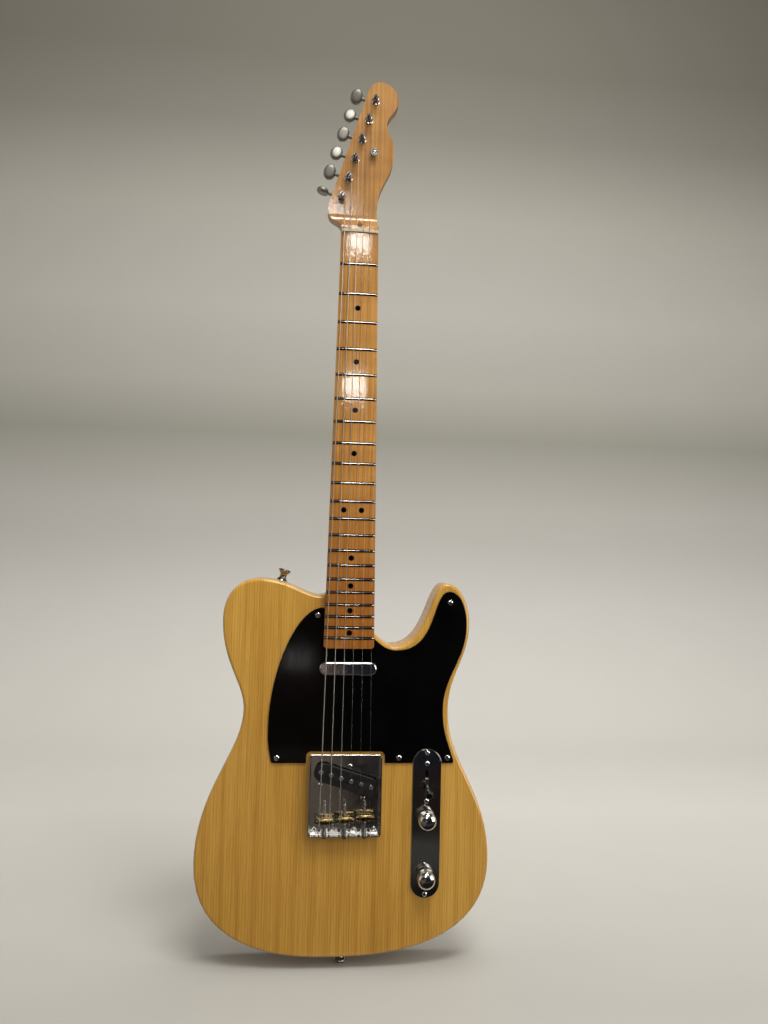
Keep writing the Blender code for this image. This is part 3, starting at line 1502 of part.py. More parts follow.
def make_pot(name, z):
    """A potentiometer: can and bush under the plate, nut above it, open bore for the shaft."""
    back = FIT_GAP * 2 + CONTROL_THICKNESS
    bore = SHAFT_RADIUS + RUNNING_GAP
    profile = [
        (0, -back - POT_DEPTH),
        (POT_RADIUS, -back - POT_DEPTH),
        (POT_RADIUS, -back),
        (BUSH_RADIUS, -back),
        (BUSH_RADIUS, FIT_GAP),
        (BUSH_NUT_RADIUS, FIT_GAP),
        (BUSH_NUT_RADIUS, FIT_GAP + BUSH_NUT_HEIGHT),
        (bore, FIT_GAP + BUSH_NUT_HEIGHT),
        (bore, -back - POT_DEPTH / 2),
        (0, -back - POT_DEPTH / 2),
    ]
    return turned(name, profile, (CONTROL_X, CONTROL_FRONT, z), FRONT, STEEL, 12)


def make_shaft(name, z):
    back = FIT_GAP + CONTROL_THICKNESS + POT_DEPTH / 2
    top = KNOB_LIFT + KNOB_SOCKET_DEPTH - FIT_GAP
    return turned(
        name,
        rod_profile(SHAFT_RADIUS, -back, top),
        (CONTROL_X, CONTROL_FRONT, z),
        FRONT,
        STEEL,
        14,
    )


def make_knob(name, z):
    """A knurled barrel knob with a domed top and a blind socket for the shaft."""
    bore = SHAFT_RADIUS + RUNNING_GAP
    side = KNOB_HEIGHT - KNOB_DOME
    place = (CONTROL_X, CONTROL_FRONT, z)
    steps = KNOB_TEETH * 2
    frame = axis_frame(place, FRONT)
    levels = [(KNOB_RADIUS, 0, KNURL_DEPTH), (KNOB_RADIUS, side, KNURL_DEPTH)]
    for share in (30, 60):
        angle = math.radians(share)
        levels.append((KNOB_RADIUS * math.cos(angle), side + KNOB_DOME * math.sin(angle), 0))
    bm = bmesh.new()
    rings = []
    for radius, height, depth in levels:
        ring = []
        for k in range(steps):
            around = math.tau * k / steps
            reach = radius - (depth if k % 2 else 0)
            ring.append(
                bm.verts.new(frame @ Vector((reach * math.cos(around), reach * math.sin(around), KNOB_LIFT + height)))
            )
        rings.append(ring)
    for low, high in zip(rings, rings[1:]):
        for k in range(steps):
            after = (k + 1) % steps
            bm.faces.new((low[k], low[after], high[after], high[k]))
    bm.faces.new(list(reversed(rings[0])))
    crest = bm.verts.new(frame @ Vector((0, 0, KNOB_LIFT + KNOB_HEIGHT)))
    for k in range(steps):
        bm.faces.new((rings[-1][k], rings[-1][(k + 1) % steps], crest))
    knob = from_bmesh(name, bm, CHROME, place)
    socket = rods(name + "_socket_cut", [place], FRONT, bore, -KNOB_LIFT, KNOB_LIFT + KNOB_SOCKET_DEPTH, CHROME, 14)
    cut(knob, socket)
    return knob


def jack_place():
    return (LOWER_BOUT_WIDTH / 2, 0, BODY_FOOT + LOWER_BOUT_HEIGHT)


def make_jack():
    wall = JACK_CUP_WALL
    hole = JACK_BUSH_RADIUS + FIT_GAP
    inner = JACK_CUP_RADIUS - wall
    cup_profile = [
        (hole, -JACK_CUP_DEPTH),
        (JACK_CUP_RADIUS - wall / 2, -JACK_CUP_DEPTH),
        (JACK_CUP_RADIUS, -JACK_CUP_DEPTH + wall),
        (JACK_CUP_RADIUS, -wall),
        (JACK_FLANGE_RADIUS, -wall),
        (JACK_FLANGE_RADIUS, -wall / 3),
        (JACK_FLANGE_RADIUS - wall / 3, 0),
        (inner, 0),
        (inner - wall / 2, -JACK_CUP_DEPTH + wall),
        (hole, -JACK_CUP_DEPTH + wall),
    ]
    cup = turned("jack_cup", cup_profile, jack_place(), (1, 0, 0), CHROME, 14)
    floor = -JACK_CUP_DEPTH + wall + FIT_GAP
    back = -JACK_CUP_DEPTH - FIT_GAP
    socket_profile = [
        (JACK_BORE_RADIUS, back - JACK_BODY_LENGTH),
        (JACK_BODY_RADIUS, back - JACK_BODY_LENGTH),
        (JACK_BODY_RADIUS, back),
        (JACK_BUSH_RADIUS, back),
        (JACK_BUSH_RADIUS, floor),
        (JACK_NUT_RADIUS, floor),
        (JACK_NUT_RADIUS, floor + JACK_NUT_HEIGHT),
        (JACK_BUSH_RADIUS, floor + JACK_NUT_HEIGHT),
        (JACK_BUSH_RADIUS, floor + JACK_NUT_HEIGHT * 1.5),
        (JACK_BORE_RADIUS, floor + JACK_NUT_HEIGHT * 1.5),
    ]
    socket = turned("jack_socket", socket_profile, jack_place(), (1, 0, 0), NICKEL, 12)
    return cup, socket


def make_neck_plate():
    centre = neck_plate_centre()
    low = BODY_BACK + FIT_GAP
    high = low + NECK_PLATE_THICKNESS
    soft = 0.0004

    def outline(inset):
        return rounded_slot(
            0, centre, NECK_PLATE_WIDTH - 2 * inset, NECK_PLATE_LENGTH - 2 * inset, 0, 0.0030 - inset, 3
        )

    plate = make_stack("neck_plate", [(outline(0), low), (outline(0), high - soft), (outline(soft), high)], CHROME)
    bm = bmesh.new()
    reach = BODY_BACK - POCKET_FLOOR + NECK_SCREW_BITE
    profile = [
        (0, -reach),
        (NECK_SCREW_RADIUS, -reach),
        (NECK_SCREW_RADIUS, NECK_PLATE_THICKNESS / 2),
        (NECK_SCREW_HEAD, NECK_PLATE_THICKNESS / 2),
        (NECK_SCREW_HEAD, NECK_PLATE_THICKNESS + 0.0008),
        (NECK_SCREW_HEAD * 0.6, NECK_PLATE_THICKNESS + 0.0018),
        (0, NECK_PLATE_THICKNESS + 0.0020),
    ]
    for x, _, z in neck_screw_places():
        add_turned(bm, profile, (x, low, z), BACK, 8)
    unite(plate, from_bmesh("neck_screws", bm, CHROME))
    return plate


def make_strap_button(name, seat, way):
    height = STRAP_BUTTON_HEIGHT
    rim = STRAP_BUTTON_RADIUS
    neck = STRAP_NECK_RADIUS
    profile = [
        (0, -STRAP_SCREW_LENGTH),
        (STRAP_SCREW_RADIUS, -STRAP_SCREW_LENGTH),
        (STRAP_SCREW_RADIUS, 0),
        (rim * 0.84, 0),
        (rim * 0.84, height * 0.08),
        (neck, height * 0.26),
        (neck, height * 0.55),
        (rim * 0.88, height * 0.80),
        (rim, height * 0.88),
        (rim * 0.95, height * 0.96),
        (rim * 0.80, height),
        (0, height),
    ]
    return turned(name, profile, seat, way, CHROME, 12)


def make_string_tree():
    """A round tree whose disc holds the two thinnest strings down."""
    foot = FIT_GAP
    profile = [
        (0, foot),
        (TREE_STEM_RADIUS * 1.3, foot),
        (TREE_STEM_RADIUS, foot + 0.0008),
        (TREE_STEM_RADIUS, TREE_STAND),
        (TREE_RADIUS, TREE_STAND),
        (TREE_RADIUS, TREE_STAND + TREE_DISC / 2),
        (TREE_RADIUS * 0.8, TREE_STAND + TREE_DISC),
        (0, TREE_STAND + TREE_DISC),
    ]
    return turned("string_tree", profile, (TREE_X, HEAD_FRONT, NUT_Z + TREE_HEIGHT), FRONT, NICKEL, 14)


def housing_level():
    """Level of the worm shafts behind the headstock."""
    return HEAD_BACK + FIT_GAP + HOUSING_HEIGHT * 0.5


def shaft_start(index):
    """The point of a worm shaft's axis abreast of its post."""
    place = Vector(post_place(index)) + post_line() * WORM_OFFSET
    return Vector((place.x, housing_level(), place.z))


def make_housing(index, name):
    centre = Vector(post_place(index)) + post_line() * WORM_OFFSET / 2 + button_way() * HOUSING_EDGE_OFFSET
    turn = 90 - POST_LINE_TILT
    low = HEAD_BACK + FIT_GAP
    high = low + HOUSING_HEIGHT

    def outline(length, width, corner):
        return rounded_slot(centre.x, centre.z, length, width, turn, corner, 2)

    cover = HOUSING_COVER_LENGTH
    width = HOUSING_WIDTH
    housing = make_stack(
        name,
        [
            (outline(HOUSING_LENGTH, width * HOUSING_EAR_SHARE, HOUSING_EAR_CORNER), low),
            (outline(HOUSING_LENGTH, width * HOUSING_EAR_SHARE, HOUSING_EAR_CORNER), low + HOUSING_FLANGE),
            (outline(cover, width, HOUSING_CORNER), low + HOUSING_FLANGE),
            (outline(cover, width, HOUSING_CORNER), high - HOUSING_SOFT),
            (outline(cover - 2 * HOUSING_SOFT, width - 2 * HOUSING_SOFT, HOUSING_CORNER - HOUSING_SOFT), high),
        ],
        NICKEL,
    )
    return housing


def add_housing_bores(index, housing):
    shaft = rods(
        housing.name + "_shaft_cut",
        [shaft_start(index)],
        button_way(),
        WORM_SHAFT_RADIUS + RUNNING_GAP,
        -HOUSING_WIDTH / 3,
        HOUSING_WIDTH,
        NICKEL,
        8,
    )
    x, _, z = post_place(index)
    post = rods(
        housing.name + "_post_cut",
        [(x, HEAD_BACK, z)],
        BACK,
        POST_RADIUS + RUNNING_GAP,
        -FIT_GAP,
        FIT_GAP + POST_FOOT_DEPTH,
        NICKEL,
        12,
    )
    cut(housing, shaft, post)


def make_button(index, name):
    """A worm shaft with its collar and an oval metal button, turned about the shaft."""
    start = shaft_start(index)
    way = button_way()
    along = Vector(post_line())
    edge = HOUSING_EDGE_OFFSET + HOUSING_WIDTH / 2 + FIT_GAP
    profile = [
        (0, -HOUSING_WIDTH / 3 + FIT_GAP),
        (WORM_SHAFT_RADIUS, -HOUSING_WIDTH / 3 + FIT_GAP),
        (WORM_SHAFT_RADIUS, edge),
        (WORM_COLLAR_RADIUS, edge),
        (WORM_COLLAR_RADIUS, edge + WORM_COLLAR_LENGTH),
        (WORM_SHAFT_RADIUS, edge + WORM_COLLAR_LENGTH * 1.6),
        (WORM_SHAFT_RADIUS, BUTTON_REACH),
        (0, BUTTON_REACH),
    ]
    button = turned(name, profile, start, way, NICKEL, 8)
    turn = math.radians(BUTTON_TURNS[index])
    broad = along * math.cos(turn) + way.cross(along) * math.sin(turn)
    thick = way.cross(broad)
    bm = bmesh.new()
    centre = start + way * BUTTON_REACH
    levels = [(0.8, -1), (1, -0.5), (1, 0.5), (0.8, 1)]
    rings = []
    for share, height in levels:
        ring = []
        for k in range(BUTTON_STEPS):
            angle = math.tau * (k + 0.5) / BUTTON_STEPS
            ring.append(
                bm.verts.new(
                    centre
                    + way * math.cos(angle) * share * BUTTON_LENGTH / 2
                    + broad * math.sin(angle) * share * BUTTON_WIDTH / 2
                    + thick * height * BUTTON_THICKNESS / 2
                )
            )
        rings.append(ring)
    for low, high in zip(rings, rings[1:]):
        for k in range(BUTTON_STEPS):
            after = (k + 1) % BUTTON_STEPS
            bm.faces.new((low[k], low[after], high[after], high[k]))
    bm.faces.new(list(reversed(rings[0])))
    bm.faces.new(rings[-1])
    unite(button, from_bmesh(name + "_grip_tool", bm, NICKEL))
    return button


def make_post(index, name):
    """A slotted string post, waisted where the string winds."""
    foot = HEADSTOCK_THICKNESS + POST_FOOT_DEPTH
    radius = POST_RADIUS
    profile = [
        (0, -foot),
        (radius, -foot),
        (radius, BUSHING_HEIGHT + POST_STEP),
        (POST_WAIST_RADIUS, BUSHING_HEIGHT + 2 * POST_STEP),
        (POST_WAIST_RADIUS, POST_HEIGHT - 3 * POST_STEP),
        (radius, POST_HEIGHT - 2 * POST_STEP),
        (radius, POST_HEIGHT - POST_STEP),
        (radius - POST_STEP, POST_HEIGHT),
        (0, POST_HEIGHT),
    ]
    place = Vector(post_place(index))
    post = turned(name, profile, place, FRONT, NICKEL, 10)
    end = wind_end(index)
    half = POST_SLOT_WIDTH / 2
    side = Vector((math.cos(end), math.sin(end)))
    across = Vector((-side.y, side.x))
    outline = []
    for along, over in ((-2, -1), (2, -1), (2, 1), (-2, 1)):
        spot = Vector((place.x, place.z)) + side * along * radius + across * over * half
        outline.append((spot.x, spot.y))
    slot = prism(name + "_slot_cut", outline, HEAD_FRONT - POST_HEIGHT * 2, HEAD_FRONT - POST_HEIGHT + POST_SLOT_DEPTH, NICKEL)
    cut(post, slot)
    return post


def wind_radius(index):
    return POST_WAIST_RADIUS + FIT_GAP + STRING_DIAMETERS[index] / 2


def string_at_nut(index):
    """A string's centre over its nut slot."""
    x = string_x(index, NUT_STRING_SPACING)
    rise = FRET_CROWN + NUT_STRING_CLEARANCE + STRING_DIAMETERS[index] / 2
    return Vector((x, BOARD_Y + board_sag(x) - rise, NUT_Z + NUT_THICKNESS / 2))


def wind_start(index):
    """The angle about its post at which a string meets its winding circle."""
    nut = string_at_nut(index)
    post = Vector(post_place(index))
    away = Vector((nut.x - post.x, nut.z - post.z))
    return math.atan2(away.y, away.x) + math.acos(wind_radius(index) / away.length)


def wind_end(index):
    return wind_start(index) + math.tau * (STRING_TURNS + TURN_TAIL)


def string_route(index):
    """A string from its ball end, over its saddle and nut, to its turns and its post's slot."""
    diameter = STRING_DIAMETERS[index]
    pair = index // 2
    x_low = string_x(index, BRIDGE_STRING_SPACING)
    nut = string_at_nut(index)
    reach = SADDLE_DIAMETER / 2 + FIT_GAP + diameter / 2
    level = saddle_level(pair)
    hole = Vector((STRING_HOLE_Z, -PLATE_FRONT + diameter))
    saddle = Vector((saddle_z(pair), -level))
    away = hole - saddle
    touch = (math.atan2(away.y, away.x) - math.acos(reach / away.length)) % math.tau
    leave = math.pi / 2
    points = [
        Vector((x_low, BODY_BACK - FERRULE_DEPTH / 2, STRING_HOLE_Z)),
        Vector((x_low, PLATE_FRONT - diameter, STRING_HOLE_Z)),
    ]
    for k in range(SADDLE_BEND_STEPS + 1):
        angle = touch + (leave - touch) * k / SADDLE_BEND_STEPS
        points.append(Vector((x_low, -(saddle.y + reach * math.sin(angle)), saddle.x + reach * math.cos(angle))))
    points.append(nut - Vector((0, 0, NUT_THICKNESS / 2)))
    points.append(nut + Vector((0, 0, NUT_THICKNESS / 2)))
    post = Vector(post_place(index))
    radius = wind_radius(index)
    start = wind_start(index)
    slot_level = HEAD_FRONT - POST_HEIGHT + POST_SLOT_DEPTH - FIT_GAP - diameter / 2
    rise = (diameter + TURN_SPACE) * STRING_TURNS
    first_level = slot_level + rise
    if index >= STRING_COUNT - TREE_STRINGS:
        meet = Vector((post.x + radius * math.cos(start), post.z + radius * math.sin(start)))
        share = (NUT_Z + TREE_HEIGHT - nut.z) / (meet.y - nut.z)
        held = HEAD_FRONT - TREE_STAND + FIT_GAP + diameter / 2
        points.append(Vector((nut.x + (meet.x - nut.x) * share, held, NUT_Z + TREE_HEIGHT)))
    count = STRING_TURNS * TURN_POINTS
    turns = []
    for k in range(count + 1):
        angle = start + math.tau * k / TURN_POINTS
        turns.append(
            Vector((post.x + radius * math.cos(angle), first_level - rise * k / count, post.z + radius * math.sin(angle)))
        )
    for share in (0.5, 1):
        angle = start + math.tau * (STRING_TURNS + TURN_TAIL * share)
        turns.append(Vector((post.x + radius * math.cos(angle), slot_level, post.z + radius * math.sin(angle))))
    end = wind_end(index)
    tail = -0.2 * radius
    turns.append(Vector((post.x + tail * math.cos(end), slot_level, post.z + tail * math.sin(end))))
    return points + turns, turns


def make_string(index, name):
    points, turns = string_route(index)
    diameter = STRING_DIAMETERS[index]
    apart = TURN_POINTS // 2
    least = min(
        (turns[a] - turns[b]).length for a in range(len(turns) - 2) for b in range(a + apart, len(turns) - 1)
    )
    print(f"{name}: least gap between turns {1000 * (least - diameter):.2f} mm")
    return tube(name, points, diameter, NICKEL if index < 3 else STEEL)


def make_nut():
    """A bone nut with a radiused top and a notch for each string."""
    half = NUT_WIDTH / 2 - FIT_GAP
    foot = BOARD_Y + NUT_SLOT_DEPTH - FIT_GAP
    outline = [(half, foot), (-half, foot)]
    crest = FRET_CROWN + NUT_STRING_CLEARANCE + NUT_SOFT

    def top(x):
        return BOARD_Y + board_sag(x) - crest

    outline.append((-half, top(half) + NUT_SOFT))
    outline.append((NUT_SOFT - half, top(half - NUT_SOFT)))
    for k in range(STRING_COUNT):
        place = string_at_nut(k)
        wide = STRING_DIAMETERS[k] / 2 + FIT_GAP
        floor = place.y + STRING_DIAMETERS[k] / 2 + FIT_GAP
        outline += [
            (place.x - wide, top(place.x - wide)),
            (place.x - wide, floor),
            (place.x + wide, floor),
            (place.x + wide, top(place.x + wide)),
        ]
    outline.append((half - NUT_SOFT, top(half - NUT_SOFT)))
    outline.append((half, top(half) + NUT_SOFT))
    low = NUT_Z + FIT_GAP
    high = low + NUT_THICKNESS
    bm = bmesh.new()
    near = [bm.verts.new((x, y, low)) for x, y in outline]
    far = [bm.verts.new((x, y, high)) for x, y in outline]
    bm.faces.new(near)
    bm.faces.new(list(reversed(far)))
    for k in range(len(outline)):
        after = (k + 1) % len(outline)
        bm.faces.new((near[after], near[k], far[k], far[after]))
    return from_bmesh("nut", bm, BONE)


def upper_strap_place():
    """The point and outward direction of the shoulder's edge where the upper strap button sits."""
    edge = body_outline()
    wanted = -SHOULDER_CREST_X + UPPER_BUTTON_SHIFT
    stretches = [
        (Vector(first), Vector(last))
        for first, last in zip(edge, edge[1:])
        if first[0] < 0 and first[1] > BODY_FOOT + SHOULDER_HEIGHT
    ]
    first, last = min(stretches, key=lambda pair: abs((pair[0].x + pair[1].x) / 2 - wanted))
    seat = (first + last) / 2
    along = (last - first).normalized()
    return Vector((seat.x, 0, seat.y)), Vector((along.y, 0, -along.x))


make_body()
make_neck()
make_nut()
make_truss_rod()
make_stripe()
make_pickguard()
make_neck_pickup()
make_bridge_plate()
make_bridge_pickup()
for number, place_name in enumerate(("bass", "middle", "treble")):
    make_saddle(number, "saddle_" + place_name)
    make_intonation_screw(number, "intonation_screw_" + place_name)
    make_spring(number, "spring_" + place_name)
make_control_plate()
make_switch_frame()
make_switch_lever()
make_switch_tip()
for dial, dial_z in (("volume", VOLUME_Z), ("tone", TONE_Z)):
    make_pot(dial + "_pot", dial_z)
    make_shaft(dial + "_shaft", dial_z)
    make_knob(dial + "_knob", dial_z)
make_jack()
make_neck_plate()
make_strap_button("end_strap_button", (0, 0, BODY_FOOT - FIT_GAP), (0, 0, -1))
strap_seat, strap_way = upper_strap_place()
make_strap_button("upper_strap_button", strap_seat + strap_way * FIT_GAP, strap_way)
make_string_tree()
for number in range(STRING_COUNT):
    string_name = f"{STRING_COUNT - number}"
    add_housing_bores(number, make_housing(number, "tuner_housing_" + string_name))
    make_button(number, "tuner_button_" + string_name)
    make_post(number, "tuner_post_" + string_name)
    make_string(number, "string_" + string_name)
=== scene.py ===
"""Looks of a solid-body electric guitar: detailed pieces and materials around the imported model."""

import json
from math import acos, atan2, copysign, cos, degrees, dist, pi, radians, sin, sqrt, tau

import bmesh
import bpy
from mathutils import Matrix, Vector

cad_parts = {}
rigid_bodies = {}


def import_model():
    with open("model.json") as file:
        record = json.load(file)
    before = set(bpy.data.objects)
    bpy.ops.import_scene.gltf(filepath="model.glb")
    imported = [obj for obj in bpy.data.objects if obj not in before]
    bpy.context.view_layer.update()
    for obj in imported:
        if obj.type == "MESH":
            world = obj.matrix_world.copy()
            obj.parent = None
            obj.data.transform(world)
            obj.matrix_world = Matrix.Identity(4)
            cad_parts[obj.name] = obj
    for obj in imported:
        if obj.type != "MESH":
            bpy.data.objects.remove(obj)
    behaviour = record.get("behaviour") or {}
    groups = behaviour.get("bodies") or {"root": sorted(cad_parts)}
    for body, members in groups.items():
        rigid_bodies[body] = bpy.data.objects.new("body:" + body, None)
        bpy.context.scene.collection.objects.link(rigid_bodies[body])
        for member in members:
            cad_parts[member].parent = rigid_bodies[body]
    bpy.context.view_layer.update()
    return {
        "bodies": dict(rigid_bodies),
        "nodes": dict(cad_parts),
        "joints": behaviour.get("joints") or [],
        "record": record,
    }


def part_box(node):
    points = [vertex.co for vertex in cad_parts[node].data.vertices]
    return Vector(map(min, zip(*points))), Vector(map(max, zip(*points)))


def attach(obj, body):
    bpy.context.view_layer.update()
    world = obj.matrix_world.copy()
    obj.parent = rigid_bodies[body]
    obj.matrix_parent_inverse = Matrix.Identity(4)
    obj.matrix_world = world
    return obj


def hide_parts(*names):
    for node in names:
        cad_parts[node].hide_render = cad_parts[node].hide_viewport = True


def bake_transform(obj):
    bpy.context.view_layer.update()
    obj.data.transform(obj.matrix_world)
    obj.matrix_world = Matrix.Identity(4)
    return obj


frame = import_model()
ROOT = "instrument"
FRONT = Vector((0, -1, 0))
BACK = Vector((0, 1, 0))
RIGHT = Vector((1, 0, 0))
UP = Vector((0, 0, 1))
WHITE = (1.0, 1.0, 1.0)

# Sizes shared with the solids, in metres
GAP = 0.0003
SCALE_LENGTH = 0.6477
FRET_COUNT = 21
NUT_SPACING = 0.0071
BRIDGE_SPACING = 0.0109
STRING_DIAMETERS = [0.00117, 0.00091, 0.00066, 0.00043, 0.00033, 0.00025]
STRING_COUNT = 6
BODY_THICKNESS = 0.04445
BODY_ROUND = 0.0036
BODY_HEIGHT = 0.4092
BOUT = 0.1614
BOUT_HEIGHT = 0.1020
WAIST = 0.1132
WAIST_HEIGHT = 0.2660
SHOULDER_HEIGHT = 0.3645
NUT_WIDTH = 0.0420
HEEL_WIDTH = 0.0556
HEEL_THICKNESS = 0.0254
POCKET_DEPTH = 0.0160
BOARD_RADIUS = 0.1840
BOARD_SIDE = 0.0052
HEAD_DROP = 0.0094
HEAD_THICKNESS = 0.0142
BODY_FRONT = -BODY_THICKNESS / 2
BODY_BACK = BODY_THICKNESS / 2
POCKET_FLOOR = BODY_FRONT + POCKET_DEPTH
HEEL_BACK = POCKET_FLOOR - GAP
BOARD_Y = HEEL_BACK - HEEL_THICKNESS
HEAD_FRONT = BOARD_Y + HEAD_DROP
HEAD_BACK = HEAD_FRONT + HEAD_THICKNESS
BODY_FOOT = 0.0132 + GAP
BRIDGE_Z = BODY_FOOT + 0.1535
NUT_Z = BRIDGE_Z + SCALE_LENGTH
TREE_Z = NUT_Z + 0.0964
HEEL_END_Z = NUT_Z - 0.4665
TONGUE = 0.4075
TONGUE_Z = BODY_FOOT + TONGUE
HEEL_TOP = TONGUE_Z + 0.0035
HEEL_BEND = 0.0260
NECK_PLATE_HEIGHT = 0.0635
NECK_PLATE_Z = TONGUE_Z - 0.0050 - NECK_PLATE_HEIGHT / 2
NECK_PLATE_SHEET = 0.0020
GUARD_FACE = BODY_FRONT - GAP - 0.0016
TRAY_WIDTH = 0.0794
TRAY_LENGTH = 0.0857
TRAY_SHEET = 0.0012
TRAY_FLOOR = BODY_FRONT - GAP - TRAY_SHEET
PLATE_REAR_Z = BRIDGE_Z - 0.0212
STRING_HOLE_Z = BRIDGE_Z - 0.0168
SADDLE_RADIUS = 0.00395
SCREW_RADIUS = 0.00145
SCREW_PITCH = 0.00079
PICKUP_LENGTH = 0.0700
PICKUP_WIDTH = 0.0200
PICKUP_SLANT = -17.0
PICKUP_X = 0.0008
PICKUP_Z = BRIDGE_Z + 0.0388
NECK_PICKUP_LENGTH = 0.0634
NECK_PICKUP_WIDTH = 0.0148
NECK_PICKUP_Z = BRIDGE_Z + 0.1586
CONTROL_X = 0.0906
CONTROL_Z = BRIDGE_Z - 0.0100
CONTROL_LENGTH = 0.1614
CONTROL_WIDTH = 0.0320
SWITCH_Z = BRIDGE_Z + 0.0344
VOLUME_Z = SWITCH_Z - 0.0390
TONE_Z = BRIDGE_Z - 0.0674
POST_TILT = radians(17.33)
POST_PITCH = 0.0243
POST_RADIUS = 0.0031
POST_WAIST = 0.0026
END_TURN = 0.15
POST_LINE = Vector((sin(POST_TILT), 0, cos(POST_TILT)))
BUTTON_WAY = Vector((-cos(POST_TILT), 0, sin(POST_TILT)))
BUTTON_TURNS = [82, -14, 8, -6, 12, -20]
STEM_LENGTH = 0.0252


# Outlines

def heading(angle):
    return Vector((cos(radians(angle)), sin(radians(angle))))


def curve_through(anchors, steps, base):
    """A closed outline through anchors (x, z, heading, pull_in, pull_out), lifted by a base height."""
    outline = []
    for first, last in zip(anchors, anchors[1:] + anchors[:1]):
        start = Vector(first[:2])
        end = Vector(last[:2])
        chord = (end - start).length
        out_handle = start + heading(first[2]) * chord * first[4]
        in_handle = end - heading(last[2]) * chord * last[3]
        count = 1 if first[4] == 0 and last[3] == 0 else steps
        for k in range(count):
            t = k / count
            outline.append(
                (1 - t) ** 3 * start
                + 3 * (1 - t) ** 2 * t * out_handle
                + 3 * (1 - t) * t**2 * in_handle
                + t**3 * end
            )
    return [(point.x, point.y + base) for point in outline]


def rounded_slot(centre, length, width, angle=90, corner=None, steps=8):
    """A rectangle with rounded corners; without a corner radius its ends are half circles."""
    radius = width / 2 if corner is None else corner
    turn = radians(angle)
    outline = []
    for side_a, side_b, start in ((1, 1, 0), (-1, 1, 90), (-1, -1, 180), (1, -1, 270)):
        for k in range(steps + 1):
            slope = radians(start + 90 * k / steps)
            a = side_a * (length / 2 - radius) + radius * cos(slope)
            b = side_b * (width / 2 - radius) + radius * sin(slope)
            point = (
                centre[0] + a * cos(turn) - b * sin(turn),
                centre[1] + a * sin(turn) + b * cos(turn),
            )
            if not outline or dist(outline[-1], point) > GAP / 10:
                outline.append(point)
    if dist(outline[0], outline[-1]) < GAP / 10:
        outline.pop()
    return outline


def inset(outline, amount):
    """An anticlockwise outline moved inwards along its points' mean normals."""
    moved = []
    for before, here, after in zip(outline[-1:] + outline[:-1], outline, outline[1:] + outline[:1]):
        first = (Vector(here) - Vector(before)).normalized()
        last = (Vector(after) - Vector(here)).normalized()
        inward = Vector((-first.y - last.y, first.x + last.x)).normalized()
        spot = Vector(here) + inward * amount / max(inward.dot(Vector((-first.y, first.x))), 0.3)
        moved.append((spot.x, spot.y))
    return moved


def half_neck(z):
    share = min(max((z - HEEL_END_Z) / (NUT_Z - HEEL_END_Z), 0), 1)
    return (HEEL_WIDTH + (NUT_WIDTH - HEEL_WIDTH) * share) / 2


def board_sag(x):
    return BOARD_RADIUS - sqrt(BOARD_RADIUS**2 - x * x)


def fret_z(number):
    return BRIDGE_Z + SCALE_LENGTH / 2 ** (number / 12)


def string_x(index, spacing):
    return (index - (STRING_COUNT - 1) / 2) * spacing


def neck_plan(low_z, high_z, margin):
    low = half_neck(low_z) + margin
    high = half_neck(high_z) + margin
    return [(-low, low_z), (low, low_z), (high, high_z), (-high, high_z)]


def body_outline():
    left_height = 0.3937
    right_height = 0.3530
    left_root = -half_neck(BODY_FOOT + left_height) + GAP
    right_root = half_neck(BODY_FOOT + right_height) - GAP
    tongue = half_neck(TONGUE_Z) - GAP
    corner = 0.0060
    anchors = [
        (0, 0, 0, 0.12, 0.44),
        (BOUT, BOUT_HEIGHT, 90, 0.40, 0.44),
        (WAIST, WAIST_HEIGHT, 90, 0.34, 0.41),
        (0.1359, 0.3625, 90, 0.40, 0.41),
        (0.1090, 0.4074, 180, 0.33, 0.21),
        (0.0500, 0.3365, 180, 0.44, 0.28),
        (right_root, right_height, 112, 0.15, 0),
        (tongue, TONGUE - corner, 90, 0, 0.39),
        (tongue - corner, TONGUE, 180, 0.39, 0),
        (corner - tongue, TONGUE, 180, 0, 0.39),
        (-tongue, TONGUE - corner, 270, 0.39, 0),
        (left_root, left_height, 206, 0, 0.27),
        (-0.0990, BODY_HEIGHT, 180, 0.50, 0.44),
        (-0.1388, SHOULDER_HEIGHT, 270, 0.42, 0.48),
        (-WAIST, WAIST_HEIGHT, 270, 0.28, 0.28),
        (-BOUT, BOUT_HEIGHT, 270, 0.46, 0.58),
    ]
    return curve_through(anchors, 20, BODY_FOOT)


def guard_outline():
    reach = 0.0858
    foot = 0.0554
    left = 0.0073
    right = 0.0029
    anchors = [
        (-half_neck(BRIDGE_Z + 0.2249), 0.2249, 173, 0, 0.21),
        (-reach, 0.0950, 270, 0.43, 0.40),
        (-reach + left / 2, foot + left * 0.63, 283, 0.40, 0.50),
        (-reach + left, foot, 0, 0.50, 0),
        (0.1199 - right, foot, 0, 0, 0.50),
        (0.1199, foot + right * 0.9, 108, 0.50, 0.39),
        (0.1069, 0.1140, 90, 0.40, 0.40),
        (0.1321, 0.2070, 90, 0.40, 0.40),
        (0.1120, 0.2452, 180, 0.33, 0.23),
        (0.0540, 0.1790, 180, 0.53, 0.40),
        (half_neck(BRIDGE_Z + 0.1918), 0.1918, 139, 0.40, 0),
    ]
    return curve_through(anchors, 16, BRIDGE_Z)


